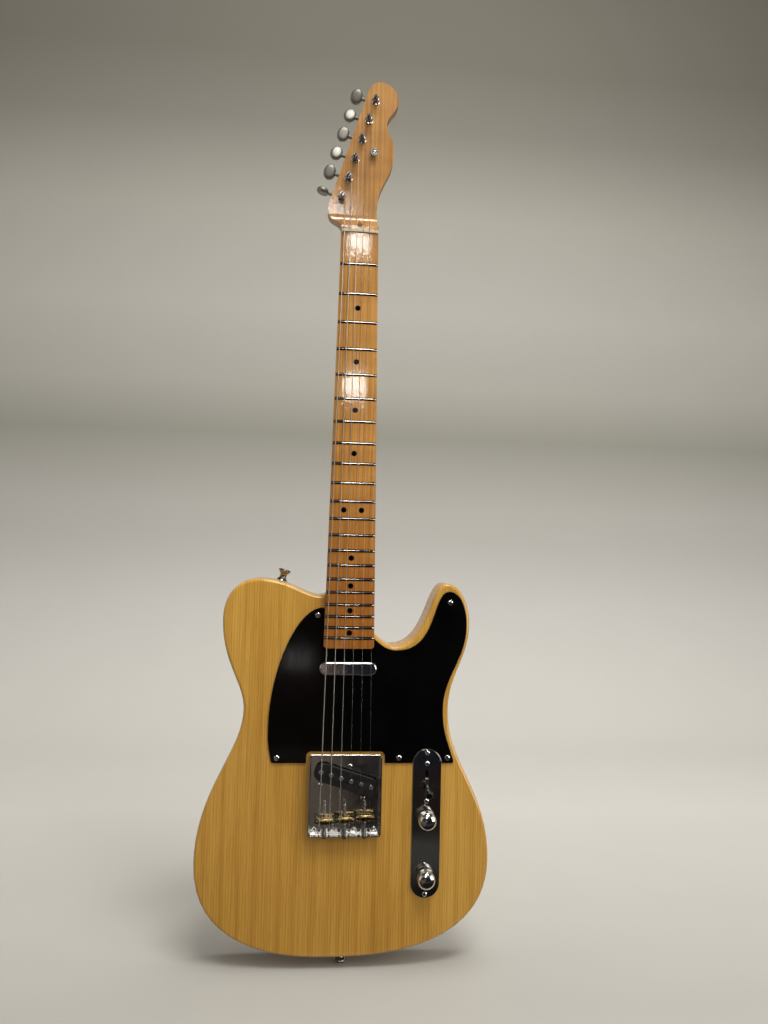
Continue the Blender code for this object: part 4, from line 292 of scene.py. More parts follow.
def headstock_outline():
    root = NUT_WIDTH / 2
    foot = (-0.0336, 0.0426)
    top = (0.0042, 0.1642)
    edge = degrees(atan2(top[1] - foot[1], top[0] - foot[0]))
    anchors = [
        (-root + 0.0012, 0.0032, 90, 0, 0),
        (-root, 0.0083, 98, 0, 0.39),
        (-0.0366, 0.0293, 90, 0.62, 0.33),
        (*foot, edge, 0.40, 0),
        (*top, edge, 0, 0.15),
        (0.0190, 0.1826, 0, 0.45, 0.55),
        (0.0414, 0.1613, 270, 0.22, 0.38),
        (0.0287, 0.1323, 270, 0.38, 0.27),
        (0.0374, 0.0993, 270, 0.53, 0.41),
        (0.0191, 0.0263, 270, 0.55, 0.37),
        (root, 0.0063, 280, 0.37, 0),
        (root - 0.0012, 0.0032, 270, 0, 0),
    ]
    return list(reversed(curve_through(anchors, 14, NUT_Z)))


# Mesh helpers

def join_rings(bm, low, high):
    """Faces between two rings, either of which may be one point."""
    count = max(len(low), len(high))
    if count == 1:
        return
    for k in range(count):
        after = (k + 1) % count
        pairs = ((low, k), (low, after), (high, after), (high, k))
        bm.faces.new(list(dict.fromkeys(ring[n % len(ring)] for ring, n in pairs)))


def loft(bm, rings):
    """Faces between rings of equal count, with flat caps."""
    made = [[bm.verts.new(point) for point in ring] for ring in rings]
    for low, high in zip(made, made[1:]):
        join_rings(bm, low, high)
    bm.faces.new(list(reversed(made[0])))
    bm.faces.new(made[-1])


def slab(bm, outline, front_y, back_y, front_round=0.0, back_round=0.0, steps=6):
    """A slab between two levels of Y whose edges may be rounded."""
    rings = []
    for radius, level, way in ((front_round, front_y, 1), (back_round, back_y, -1)):
        part = [] if radius else [[(x, level, z) for x, z in outline]]
        for k in range(steps + 1 if radius else 0):
            angle = pi / 2 * k / steps
            y = level + way * radius * (1 - cos(angle))
            part.append([(x, y, z) for x, z in inset(outline, radius * (1 - sin(angle)))])
        rings += part[::way]
    loft(bm, rings)


def axis_frame(origin, axis):
    turn = Vector((0, 0, 1)).rotation_difference(Vector(axis).normalized())
    return Matrix.Translation(Vector(origin)) @ turn.to_matrix().to_4x4()


def revolve(bm, profile, origin, axis, steps=32, teeth=None):
    """Turn (radius, height) points about an axis; teeth (depth, first row, last row) knurl it crosswise."""
    frame = axis_frame(origin, axis)
    rings = []
    for row, (radius, height) in enumerate(profile):
        ring = []
        for k in range(steps if radius else 1):
            angle = tau * (k + 0.5) / steps
            notched = teeth and teeth[1] <= row <= teeth[2] and (k + row) % 2
            reach = radius - teeth[0] if notched else radius
            ring.append(bm.verts.new(frame @ Vector((reach * cos(angle), reach * sin(angle), height))))
        rings.append(ring)
    for low, high in zip(rings, rings[1:]):
        join_rings(bm, low, high)
    if len(rings[0]) > 1 and len(rings[-1]) > 1:
        join_rings(bm, rings[-1], rings[0])


def rod(radius, low, high, soft=0.0):
    """Profile of a round bar whose ends may have a chamfer."""
    if soft == 0:
        return [(0, low), (radius, low), (radius, high), (0, high)]
    bottom = [(0, low), (radius - soft, low), (radius, low + soft)]
    return bottom + [(radius, high - soft), (radius - soft, high), (0, high)]


def shade(mesh, smooth=35):
    mesh.shade_smooth()
    mesh.set_sharp_from_angle(angle=radians(smooth))


def as_object(name, bm, material=None, smooth=35):
    bmesh.ops.recalc_face_normals(bm, faces=bm.faces)
    mesh = bpy.data.meshes.new(name)
    bm.to_mesh(mesh)
    bm.free()
    mesh.materials.append(material)
    shade(mesh, smooth)
    made = bpy.data.objects.new(name, mesh)
    bpy.context.scene.collection.objects.link(made)
    return made


def slab_object(name, outline, front_y, back_y, material=None, front_round=0.0, back_round=0.0, steps=6):
    bm = bmesh.new()
    slab(bm, outline, front_y, back_y, front_round, back_round, steps)
    return as_object(name, bm, material)


def loft_object(name, lofts, material=None, smooth=35):
    """One mesh of several lofts, each a list of rings."""
    bm = bmesh.new()
    for rings in lofts:
        loft(bm, rings)
    return as_object(name, bm, material, smooth)


def turned_object(name, profile, places, axis, material=None, steps=32, teeth=None):
    """One mesh of a turned form that stands at several places."""
    bm = bmesh.new()
    for spot in places:
        revolve(bm, profile, spot, axis, steps, teeth)
    return as_object(name, bm, material)


def bores(name, places, axis, radius, low, high, steps=24):
    return turned_object(name, rod(radius, low, high), places, axis, None, steps)


def wire_object(name, points, radius, material, side=None, sides=12):
    """A round tube along points, capped at both ends and free of twist."""
    if side is None:
        side = (points[1] - points[0]).normalized().orthogonal().normalized()
    rings = []
    for k, spot in enumerate(points):
        way = (points[min(k + 1, len(points) - 1)] - points[max(k - 1, 0)]).normalized()
        side = (side - way * side.dot(way)).normalized()
        other = way.cross(side)
        angles = [tau * n / sides for n in range(sides)]
        rings.append([spot + (side * cos(angle) + other * sin(angle)) * radius for angle in angles])
    return loft_object(name, [rings], material, 50)


def carve(target, *tools, operation="DIFFERENCE"):
    """Apply Boolean changes for good and delete the tools."""
    for tool in tools:
        change = target.modifiers.new("carve", "BOOLEAN")
        change.operation = operation
        change.solver = "EXACT"
        change.object = tool
    graph = bpy.context.evaluated_depsgraph_get()
    made = bpy.data.meshes.new_from_object(target.evaluated_get(graph))
    target.modifiers.clear()
    target.data = made
    shade(made)
    for tool in tools:
        bpy.data.objects.remove(tool, do_unlink=True)


def flat_caps(target):
    """Keep large flat faces flat beside rounded edges."""
    weighted = target.modifiers.new("weighted", "WEIGHTED_NORMAL")
    weighted.keep_sharp = True
    weighted.weight = 100
    return target


def place(piece, body, slot, *nodes):
    if body:
        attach(piece, body)
    if nodes:
        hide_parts(*nodes)
    return piece


def dress(material, *nodes):
    """CAD nodes that stay get a better material."""
    for node in nodes:
        for slot in frame["nodes"][node].material_slots:
            slot.material = material


def screws(name, seats, way, radius, rise, slot="chrome", look=None):
    """Domed heads with a cross recess, standing on their seats."""
    rim = 0.12
    profile = [(0, -GAP), (radius, -GAP), (radius, rise * rim)]
    for slope in (12, 24, 36, 48, 60, 75):
        across, up = heading(slope)
        profile.append((radius * across, rise * (rim + (1 - rim) * up)))
    profile.append((0, rise))
    heads = turned_object(name, profile, seats, way, look or CHROME, 24)
    arm = radius * 0.62
    thick = radius * 0.13
    outline = [(arm, -thick), (arm, thick), (thick, thick), (thick, arm), (-thick, arm), (-thick, thick)]
    outline += [(-x, -y) for x, y in outline]
    crosses = []
    for number, seat in enumerate(seats):
        turned = axis_frame(seat, way) @ Matrix.Rotation(0.7 * number + 0.3, 4, "Z")
        levels = (rise * 0.35, rise * 2)
        crosses.append([[turned @ Vector((x, y, height)) for x, y in outline] for height in levels])
    carve(heads, loft_object(name + "_cross", crosses))
    place(heads, ROOT, slot)


# Materials

def fill(tree, node, inputs):
    """Set a node's inputs by name, or link them where a socket is given."""
    for name, value in inputs.items():
        if isinstance(value, bpy.types.NodeSocket):
            tree.links.new(value, node.inputs[name])
        else:
            node.inputs[name].default_value = value


def add_node(tree, kind, output, inputs, **settings):
    """A new shader node; gives back the output that is asked for."""
    node = tree.nodes.new("ShaderNode" + kind)
    for name, value in settings.items():
        setattr(node, name, value)
    fill(tree, node, inputs)
    return node.outputs[output]


class Look:
    """A Principled material with short ways to add procedural detail in object space."""

    def __init__(self, name, roughness, metallic=0.0, coat=0.0, level=0.5):
        self.material = bpy.data.materials.new(name)
        self.material.use_nodes = True
        self.tree = self.material.node_tree
        self.set({"Roughness": roughness, "Metallic": metallic, "Specular IOR Level": level})
        self.set({"Coat Weight": coat, "Coat Roughness": 0.05})

    def set(self, inputs):
        fill(self.tree, self.tree.nodes["Principled BSDF"], inputs)

    def place(self):
        return add_node(self.tree, "TexCoord", "Object", {})

    def mapped(self, stretch):
        return add_node(self.tree, "Mapping", "Vector", {"Vector": self.place(), "Scale": stretch})

    def axis(self, letter):
        return add_node(self.tree, "SeparateXYZ", letter, {"Vector": self.place()})

    def along(self, letter, start, end):
        """The share of the way from start to end along an axis."""
        return self.spread(self.axis(letter), 0, 1, start, end)

    def noise(self, scale, stretch=WHITE, detail=3.0, distortion=0.0):
        inputs = {"Vector": self.mapped(stretch), "Scale": scale, "Detail": detail, "Distortion": distortion}
        return add_node(self.tree, "TexNoise", "Fac", inputs)

    def bands(self, scale, stretch=WHITE, distortion=0.0, direction="X"):
        inputs = {"Vector": self.mapped(stretch), "Scale": scale, "Distortion": distortion}
        inputs |= {"Detail": 2.0, "Detail Scale": 1.4}
        return add_node(self.tree, "TexWave", "Fac", inputs, bands_direction=direction)

    def ramp(self, fac, *stops):
        colours = add_node(self.tree, "ValToRGB", "Color", {"Fac": fac})
        elements = colours.node.color_ramp.elements
        while len(elements) < len(stops):
            elements.new(0.5)
        for element, (position, colour) in zip(elements, stops):
            element.position = position
            element.color = (*colour, 1)
        return colours

    def mix(self, first, second, share, kind="MIX"):
        inputs = {"Factor": share, "A": first, "B": second}
        return add_node(self.tree, "Mix", "Result", inputs, data_type="RGBA", blend_type=kind)

    def spread(self, fac, low, high, first, last):
        inputs = {"Value": fac, "From Min": first, "From Max": last, "To Min": low, "To Max": high}
        return add_node(self.tree, "MapRange", "Result", inputs)

    def paint(self, fac, *stops):
        """Start the colour from a ramp."""
        self.colour = self.ramp(fac, *stops)
        self.set({"Base Color": self.colour})

    def shade(self, share, fac, *stops):
        """Multiply the colour so far by a ramp."""
        self.colour = self.mix(self.colour, self.ramp(fac, *stops), share, "MULTIPLY")
        self.set({"Base Color": self.colour})

    def rough(self, fac, low, high):
        self.set({"Roughness": self.spread(fac, low, high, 0.3, 0.7)})

    def bump(self, fac, depth):
        """Relief of a given depth in metres, on the coat as well."""
        normal = add_node(self.tree, "Bump", "Normal", {"Height": fac, "Strength": 1.0, "Distance": depth})
        self.set({"Normal": normal, "Coat Normal": normal})


def blonde_lacquer():
    """Ash with fine straight lines and a few wandering broad bands under a glossy yellow coat."""
    look = Look("blonde_lacquer_look", 0.45, coat=0.9, level=0.15)
    broad = look.noise(13, (1, 1, 0.22), distortion=0.9)
    pale = (0.70, (0.604, 0.358, 0.073))
    look.paint(broad, (0.30, (0.482, 0.263, 0.044)), (0.50, (0.545, 0.310, 0.056)), pale)
    lines = look.bands(105, (1, 0.4, 0.045), 5.0)
    look.shade(0.45, lines, (0.0, (0.72, 0.65, 0.54)), (0.25, (0.94, 0.92, 0.88)), (0.6, (1.03, 1.03, 1.02)))
    look.shade(0.38, look.noise(300, (1, 0.5, 0.008)), (0.36, (0.78, 0.72, 0.62)), (0.52, WHITE))
    look.shade(0.68, look.bands(17, (1, 0.5, 0.09), 6.0), (0.0, (0.86, 0.81, 0.72)), (0.30, WHITE))
    look.shade(0.8, look.noise(900, (1, 1, 0.022)), (0.36, (0.86, 0.83, 0.76)), (0.62, WHITE))
    # Painted shade: darker towards the body's foot, a little brighter towards its top.
    look.shade(1.0, look.along("Z", 0.02, 0.42), (0.0, (0.90, 0.86, 0.86)), (1.0, (1.06, 1.03, 1.0)))
    look.shade(0.5, look.noise(1500, (1, 1, 0.03), 2), (0.60, WHITE), (0.74, (0.62, 0.52, 0.40)))
    look.bump(look.noise(240, detail=2), 0.00002)
    return look.material


def amber_maple():
    """Maple under aged lacquer, with fine straight figure, a few soft cross waves, painted shade towards the
    heel and a middle made paler by painted light.
    """
    look = Look("amber_maple_look", 0.40, coat=1.0, level=0.15)
    streaks = look.noise(380, (1, 1, 0.02), 4)
    pale = (0.8, (0.450, 0.230, 0.058))
    look.paint(streaks, (0.30, (0.285, 0.122, 0.024)), (0.55, (0.380, 0.180, 0.040)), pale)
    look.shade(0.6, look.bands(62, (1, 0.7, 0.05), 3.0), (0.0, (0.78, 0.70, 0.60)), (0.25, WHITE))
    look.shade(0.8, look.noise(55, (0.35, 0.35, 1), 2), (0.35, (0.82, 0.78, 0.72)), (0.65, WHITE))
    # Painted shade and light along the height: darker towards the heel, brighter along the neck, about even
    # on the headstock.
    heel = (0.00, (0.98, 0.74, 0.42))
    neck = ((0.28, (1.34, 1.30, 1.10)), (0.48, (1.36, 1.38, 1.24)), (0.76, (1.30, 1.34, 1.22)))
    head = (0.86, (1.08, 1.10, 1.08))
    look.shade(1.0, look.along("Z", 0.40, 0.90), heel, *neck, head)
    look.shade(0.5, look.noise(1400, (1, 1, 0.06), 2), (0.62, WHITE), (0.74, (0.70, 0.62, 0.52)))
    look.bump(look.noise(420, (1, 1, 0.5)), 0.00008)
    look.set({"Coat Roughness": 0.06})
    return look.material


def walnut():
    look = Look("walnut_look", 0.4, coat=0.6)
    streaks = look.noise(700, (1, 1, 0.03))
    look.paint(streaks, (0.3, (0.040, 0.018, 0.008)), (0.7, (0.105, 0.050, 0.022)))
    look.bump(streaks, 0.00002)
    return look.material


def bone():
    look = Look("bone_look", 0.42)
    look.set({"Subsurface Weight": 0.1, "Subsurface Scale": 0.001})
    look.paint(look.noise(300, (1, 1, 0.3)), (0.3, (0.46, 0.37, 0.22)), (0.7, (0.56, 0.47, 0.30)))
    look.bump(look.noise(1500, detail=2), 0.00001)
    return look.material


def black_plastic(name, roughness, level):
    """Polished black sheet with hair scratches and a little dust haze."""
    look = Look(name, roughness, level=level)
    look.paint(look.noise(30), (0.3, (0.0010, 0.0009, 0.0009)), (0.7, (0.0022, 0.0021, 0.0020)))
    look.rough(look.noise(90, (1, 1, 0.2), 4), roughness * 0.8, roughness * 1.6)
    look.bump(look.noise(900, (1, 1, 0.1), 2), 0.000006)
    return look.material


def plated(name, colour, low, high):
    """Plated metal: smudges in the gloss and a faint unevenness in the plating."""
    look = Look(name, low, metallic=1.0)
    worn = [channel * 0.93 for channel in colour]
    look.paint(look.noise(120, detail=4), (0.35, worn), (0.65, colour))
    look.rough(look.noise(70, detail=5, distortion=0.6), low, high)
    look.bump(look.noise(500, detail=2), 0.000004)
    return look.material


def tarnished_brass():
    look = Look("brass_look", 0.3, metallic=1.0)
    patches = look.noise(420, detail=4)
    look.paint(patches, (0.3, (0.07, 0.05, 0.02)), (0.55, (0.20, 0.14, 0.055)), (0.75, (0.36, 0.27, 0.12)))
    look.rough(patches, 0.16, 0.32)
    look.bump(look.bands(700), 0.000006)
    return look.material


def wound_nickel():
    """String winding: fine ridges across the string, which runs along Z."""
    look = Look("wound_string_look", 0.32, metallic=1.0)
    ridges = look.bands(700, direction="Z")
    look.paint(ridges, (0.0, (0.20, 0.18, 0.16)), (0.5, (0.46, 0.43, 0.38)))
    look.bump(ridges, 0.00006)
    return look.material


def black_fibre():
    look = Look("black_fibre_look", 0.5)
    grain = look.noise(500, detail=4)
    look.paint(grain, (0.3, (0.0030, 0.0028, 0.0026)), (0.7, (0.0080, 0.0076, 0.0072)))
    look.rough(look.noise(160), 0.34, 0.62)
    look.bump(look.noise(2600, detail=2), 0.00001)
    return look.material


BLONDE = blonde_lacquer()
MAPLE = amber_maple()
WALNUT = walnut()
BONE = bone()
GUARD_BLACK = black_plastic("guard_black_look", 0.07, 0.20)
BLACK = black_plastic("black_plastic_look", 0.22, 0.45)
# Dark edges beside the frets: lacquer build-up and painted shade.
LACQUER_AND_SHADE_EDGE = black_plastic("lacquer_and_shade_edge_look", 0.55, 0.05)
CHROME = plated("chrome_look", (0.78, 0.77, 0.75), 0.07, 0.15)
AGED_CHROME = plated("aged_chrome_look", (0.66, 0.64, 0.61), 0.10, 0.22)
FRET_METAL = plated("fret_look", (0.58, 0.54, 0.47), 0.07, 0.13)
SATIN = plated("satin_nickel_look", (0.33, 0.32, 0.285), 0.50, 0.60)
KNURLED = plated("knurled_look", (0.24, 0.23, 0.215), 0.24, 0.36)
NICKEL = plated("nickel_look", (0.66, 0.62, 0.55), 0.20, 0.34)
DARK_STEEL = plated("dark_steel_look", (0.26, 0.25, 0.23), 0.14, 0.26)
STEEL = plated("steel_look", (0.58, 0.57, 0.55), 0.26, 0.42)
PLAIN_STRING = plated("plain_string_look", (0.36, 0.34, 0.30), 0.20, 0.30)
WOUND_STRING = wound_nickel()
BRASS = tarnished_brass()
FIBRE = black_fibre()


# Body

def control_slot(margin, steps=16):
    length = CONTROL_LENGTH + 2 * margin
    return rounded_slot((CONTROL_X, CONTROL_Z), length, CONTROL_WIDTH + 2 * margin, 90, None, steps)


def bridge_pickup_plan(margin, steps=8):
    length = PICKUP_LENGTH + 2 * margin
    width = PICKUP_WIDTH + 2 * margin
    corner = PICKUP_WIDTH / 2 - 0.0022 + margin
    return rounded_slot((PICKUP_X, PICKUP_Z), length, width, PICKUP_SLANT, corner, steps)


def neck_pickup_plan(margin, steps=16):
    length = NECK_PICKUP_LENGTH + 2 * margin
    return rounded_slot((0, NECK_PICKUP_Z), length, NECK_PICKUP_WIDTH + 2 * margin, 0, None, steps)


def neck_screw_seats():
    level = BODY_BACK + GAP + NECK_PLATE_SHEET
    across = 0.0381 / 2
    up = 0.0508 / 2
    return [(x * across, level, NECK_PLATE_Z + z * up) for x in (-1, 1) for z in (-1, 1)]


def string_hole_places(level=0.0):
    return [(string_x(k, BRIDGE_SPACING), level, STRING_HOLE_Z) for k in range(STRING_COUNT)]


def make_body():
    body = slab_object("body_wood", body_outline(), BODY_FRONT, BODY_BACK, BLONDE, BODY_ROUND, BODY_ROUND, 7)
    deep = BODY_FRONT * 2
    holes = string_hole_places()
    bore = 0.0113
    mouth = 0.0130
    floor = CONTROL_X + 0.0030
    step = BOUT - 0.0015
    margin = 0.0012
    jack = [(0, floor), (bore, floor), (bore, step), (mouth, step), (mouth, 2 * BOUT), (0, 2 * BOUT)]
    # The jack's bore is cut a little off the outline's own points, where the Boolean would fail
    side = (0, 0.00002, BODY_FOOT + BOUT_HEIGHT + 0.00013)
    seat, way = upper_strap_place()
    carve(
        body,
        slab_object("pocket_cut", neck_plan(HEEL_END_Z - GAP, HEEL_TOP, GAP), deep, POCKET_FLOOR),
        slab_object("neck_pickup_cut", neck_pickup_plan(margin), deep, BODY_FRONT + 0.0132),
        slab_object("bridge_pickup_cut", bridge_pickup_plan(margin), deep, BODY_FRONT + 0.0177),
        slab_object("control_cut", control_slot(-0.0045), deep, BODY_FRONT + 0.0360),
        bores("string_bore_cut", holes, BACK, 0.0016, deep, BODY_BACK - 0.0070),
        bores("ferrule_bore_cut", holes, BACK, 0.0024, BODY_BACK - 0.0073, -deep),
        bores("strap_screw_cut", [(0, 0, BODY_FOOT)], UP, 0.0022, -BODY_THICKNESS, 0.0203),
        turned_object("jack_cut", jack, [side], RIGHT, None, 48),
        bores("upper_screw_cut", [seat], way, 0.0022, -0.0203, BODY_THICKNESS),
    )
    place(flat_caps(body), ROOT, "blonde_lacquer", "body")
    # Black tubes inside the string holes: painted shade in the bores.
    end = BODY_BACK - 0.0074
    hole_shade_liner = [(0.0012, BODY_FRONT), (0.00155, BODY_FRONT), (0.00155, end), (0.0012, end)]
    place(turned_object("string_hole_shade_liners", hole_shade_liner, holes, BACK, FIBRE, 20), ROOT, "black_fibre")
    cup = [(0.0014, -0.0066), (0.00235, -0.0066), (0.00235, -0.0002), (0.0022, 0), (0.0018, 0)]
    cup += [(0.0016, -0.0003), (0.0014, -0.0030)]
    seats = string_hole_places(BODY_BACK)
    place(turned_object("string_ferrules", cup, seats, BACK, NICKEL, 32), ROOT, "nickel")


def upper_strap_place():
    """The shoulder's edge where the upper strap button sits, and its outward direction."""
    low, high = (Vector(corner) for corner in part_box("upper_strap_button"))
    centre = ((low + high) / 2).xz
    edge = [Vector(point) for point in body_outline()]
    pairs = [(a, b) for a, b in zip(edge, edge[1:]) if a.x < -0.05 and a.y > BODY_FOOT + SHOULDER_HEIGHT]
    first, last = min(pairs, key=lambda pair: ((pair[0] + pair[1]) / 2 - centre).length)
    along = (last - first).normalized()
    return Vector(((first.x + last.x) / 2, 0, (first.y + last.y) / 2)), Vector((along.y, 0, -along.x))


def strap_button(node, seat, way):
    """A flared foot, a waist for the strap and a dished head with its screw."""
    height = 0.0132
    rim = 0.0070
    waist = 0.0036
    flare = 0.0016
    dish = height * 0.93
    profile = [(0, GAP), (rim * 0.84, GAP), (rim * 0.86, height * 0.05), (rim * 0.80, height * 0.10)]
    for k in range(7):
        angle = pi * k / 6
        profile.append((waist + flare * (1 - sin(angle)), height * (0.42 - 0.26 * cos(angle))))
    head = ((0.88, 0.80), (0.985, 0.86), (1, 0.90), (0.97, 0.95), (0.88, 0.99), (0.74, 1), (0.62, 0.98))
    profile += [(rim * across, height * up) for across, up in head]
    profile += [(rim * 0.56, dish), (0, dish)]
    # Dark steel in place of the button's chrome: painted shade.
    place(turned_object(node + "_metal", profile, [seat], way, DARK_STEEL, 40), ROOT, "chrome", node)
    screws(node + "_metal_screw", [seat + way * dish], way, 0.0035, 0.0006)


def make_back_hardware():
    plan = rounded_slot((0, NECK_PLATE_Z), 0.0510, NECK_PLATE_HEIGHT, 0, 0.0030, 6)
    low = BODY_BACK + GAP
    plate = slab_object("neck_plate_metal", plan, low, low + NECK_PLATE_SHEET, CHROME, 0, 0.0007, 4)
    place(flat_caps(plate), ROOT, "chrome", "neck_plate")
    screws("neck_plate_screws", neck_screw_seats(), BACK, 0.0038, 0.0018)
    strap_button("end_strap_button", UP * (BODY_FOOT - GAP), -UP)
    seat, way = upper_strap_place()
    strap_button("upper_strap_button", seat + way * GAP, way)


# Neck and headstock

def eased(first, last, share):
    """Values part of the way from first to last, with a soft start and end."""
    ease = share * share * (3 - 2 * share)
    return [a + (b - a) * ease for a, b in zip(first, last)]


def neck_station(z):
    """Back level, side depth and squareness of the neck's section at a height."""
    taper = 0.0020
    heel = (HEEL_BACK, HEEL_THICKNESS - 0.0060, 9.0)
    shaft = (BOARD_Y + 0.0232, BOARD_SIDE, 2.3)
    head = (HEAD_BACK - GAP, HEAD_THICKNESS * 0.9, 9.0)
    first = fret_z(1)
    twelfth = fret_z(12)
    if z < HEEL_TOP + HEEL_BEND:
        return eased(heel, shaft, max(z - HEEL_TOP, 0) / HEEL_BEND)
    if z <= first:
        share = max((z - twelfth) / (first - twelfth), 0)
        return [shaft[0] - taper * share, *shaft[1:]]
    return eased((shaft[0] - taper, *shaft[1:]), head, min((z - first) / (NUT_Z - 0.0021 - first), 1))


def neck_section(z, narrowing=0.0):
    half = half_neck(z) - narrowing
    back, side_depth, square = neck_station(z)
    points = [(x, BOARD_Y + board_sag(x)) for x in (half * (k / 7 - 1) for k in range(15))]
    side = min(BOARD_Y + board_sag(half) + side_depth, back - GAP)
    for k in range(29):
        angle = pi * k / 28
        across = copysign(abs(cos(angle)) ** (2 / square), cos(angle))
        down = abs(sin(angle)) ** (2 / square)
        points.append((half * across, side + (back - side) * down))
    return [(x, y, z) for x, y in points]


def neck_sections():
    """Sections from the heel's rounded end, closer together where the shape changes, to the headstock."""
    corner = 0.0035
    rings = []
    for slope in range(0, 91, 15):
        angle = radians(slope)
        rings.append(neck_section(HEEL_END_Z + corner * (1 - cos(angle)), corner * (1 - sin(angle))))
    heights = [HEEL_TOP + HEEL_BEND * k / 10 for k in range(11)]
    frets = [fret_z(number) for number in (15, 12, 9, 7, 5, 3, 2, 1)]
    heights += [z for z in frets if z > HEEL_TOP + HEEL_BEND + 0.0040]
    heights += [fret_z(1) + (NUT_Z - fret_z(1)) * k / 10 for k in range(1, 11)]
    return rings + [neck_section(z) for z in (*heights, NUT_Z + 0.0063)]


def cove_tool():
    """The step from the fingerboard down to the headstock's face."""
    start = NUT_Z + 0.0078
    length = 0.0162
    first = radians(24)
    far = NUT_Z + 0.22
    profile = [(far, BOARD_Y * 2), (start, BOARD_Y * 2)]
    for k in range(17):
        angle = first + (pi / 2 - first) * k / 16
        along = (cos(first) - cos(angle)) / cos(first)
        drop = (sin(angle) - sin(first)) / (1 - sin(first))
        profile.append((start + length * along, BOARD_Y + HEAD_DROP * drop))
    profile.append((far, HEAD_FRONT))
    sides = (-NUT_WIDTH * 2, NUT_WIDTH * 2)
    return loft_object("cove_cut", [[[(x, y, z) for z, y in profile] for x in sides]])


def soften_head(neck):
    """Round the headstock's long front and back edges."""
    bm = bmesh.new()
    bm.from_mesh(neck.data)
    chosen = []
    for edge in bm.edges:
        on_head = min(vert.co.z for vert in edge.verts) >= NUT_Z + 0.0085
        if on_head and len(edge.link_faces) == 2 and edge.calc_face_angle() > radians(55):
            chosen.append(edge)
    size = {"offset": 0.0011, "segments": 3, "profile": 0.5}
    bmesh.ops.bevel(bm, geom=chosen, affect="EDGES", clamp_overlap=True, **size)
    bm.to_mesh(neck.data)
    bm.free()
    shade(neck.data)


def stripe_plan(margin):
    half = 0.0031 + margin
    low, high = HEEL_END_Z + 0.0800 - margin, NUT_Z - 0.0260 + margin
    return [(-half, low), (half, low), (half, high), (-half, high)]


def walnut_inlay(name, neck, tool):
    """The part of the neck inside a tool, in walnut."""
    inlay = bpy.data.objects.new(name, neck.data.copy())
    bpy.context.scene.collection.objects.link(inlay)
    inlay.data.materials[0] = WALNUT
    carve(inlay, tool, operation="INTERSECT")
    return inlay


def make_neck():
    neck = loft_object("neck_wood", [neck_sections()], MAPLE)
    face = BOARD_Y + board_sag(NUT_WIDTH / 2)
    carve(neck, slab_object("head_tool", headstock_outline(), face, HEAD_BACK, MAPLE), operation="UNION")
    carve(neck, cove_tool())
    soften_head(neck)
    stripe_tool = slab_object("stripe_tool", stripe_plan(0), BOARD_Y + 0.0164, 0)
    place(walnut_inlay("stripe_wood", neck, stripe_tool), ROOT, "walnut", "skunk_stripe")
    plug_tool = bores("plug_tool", [(0, BOARD_Y + 0.0034, NUT_Z)], UP, 0.0032, 0.0052, 0.0300, 40)
    plug = walnut_inlay("truss_plug", neck, plug_tool)
    plug.data.transform(Matrix.Translation((0, -0.00004, 0.00004)))
    place(plug, ROOT, "walnut")
    nut_slot = 0.0032
    nut_top = NUT_Z + nut_slot + 2 * GAP
    nut_plan = [(-NUT_WIDTH, NUT_Z), (NUT_WIDTH, NUT_Z), (NUT_WIDTH, nut_top), (-NUT_WIDTH, nut_top)]
    posts = [post_place(k) for k in range(STRING_COUNT)]
    carve(
        neck,
        slab_object("nut_cut", nut_plan, BOARD_Y * 2, BOARD_Y + nut_slot),
        slab_object("rod_cut", stripe_plan(0.00003), BOARD_Y + 0.0110, 0.02),
        bores("post_cut", posts, FRONT, 0.0034, -0.03, HEAD_THICKNESS),
        bores("pilot_cut", neck_screw_seats(), FRONT, 0.0024, -0.02, BODY_BACK - POCKET_FLOOR + 0.0140),
    )
    place(flat_caps(neck), ROOT, "amber_maple", "neck")


def fret_rings(number):
    """Crowned wire over the board's radius, with ends filed back at a slant."""
    z = fret_z(number)
    half = half_neck(z) - 0.0004
    crown = [heading(angle) for angle in range(180, -1, -30)]
    foot = 0.00105
    rings = []
    for k in range(-9, 10):
        x = half * min(max(k / 8, -1), 1)
        reach = x - copysign(0.0005, x) if abs(k) == 8 else x
        rise = 0.000275 if abs(k) == 9 else 0.0011
        y = BOARD_Y + board_sag(x)
        ring = [(reach, y - rise * up, z + foot * side) for side, up in crown]
        rings.append(ring + [(reach, y + 0.0004, z + foot), (reach, y + 0.0004, z - foot)])
    return rings


def lacquer_and_shade_rings(number, side):
    """The ramp of dark lacquer and painted shade that leans on one side of a fret."""
    near = fret_z(number) + side * 0.00052
    far = fret_z(number) + side * 0.0017
    rings = []
    for k in range(-8, 9):
        x = (half_neck(near) - 0.0004) * k / 8
        y = BOARD_Y + board_sag(x)
        under = y + 0.0003
        rings.append([(x, y - 0.00099, near), (x, y - 0.00003, far), (x, under, far), (x, under, near)])
    return rings


def make_frets():
    numbers = range(1, FRET_COUNT + 1)
    place(loft_object("frets", [fret_rings(number) for number in numbers], FRET_METAL, 50), ROOT, "nickel")
    # Dark strips on both sides of each fret: lacquer build-up and painted shade.
    edges = [lacquer_and_shade_rings(number, side) for number in numbers for side in (-1, 1)]
    place(loft_object("fret_lacquer_and_shade_edges", edges, LACQUER_AND_SHADE_EDGE), ROOT, "amber_maple")


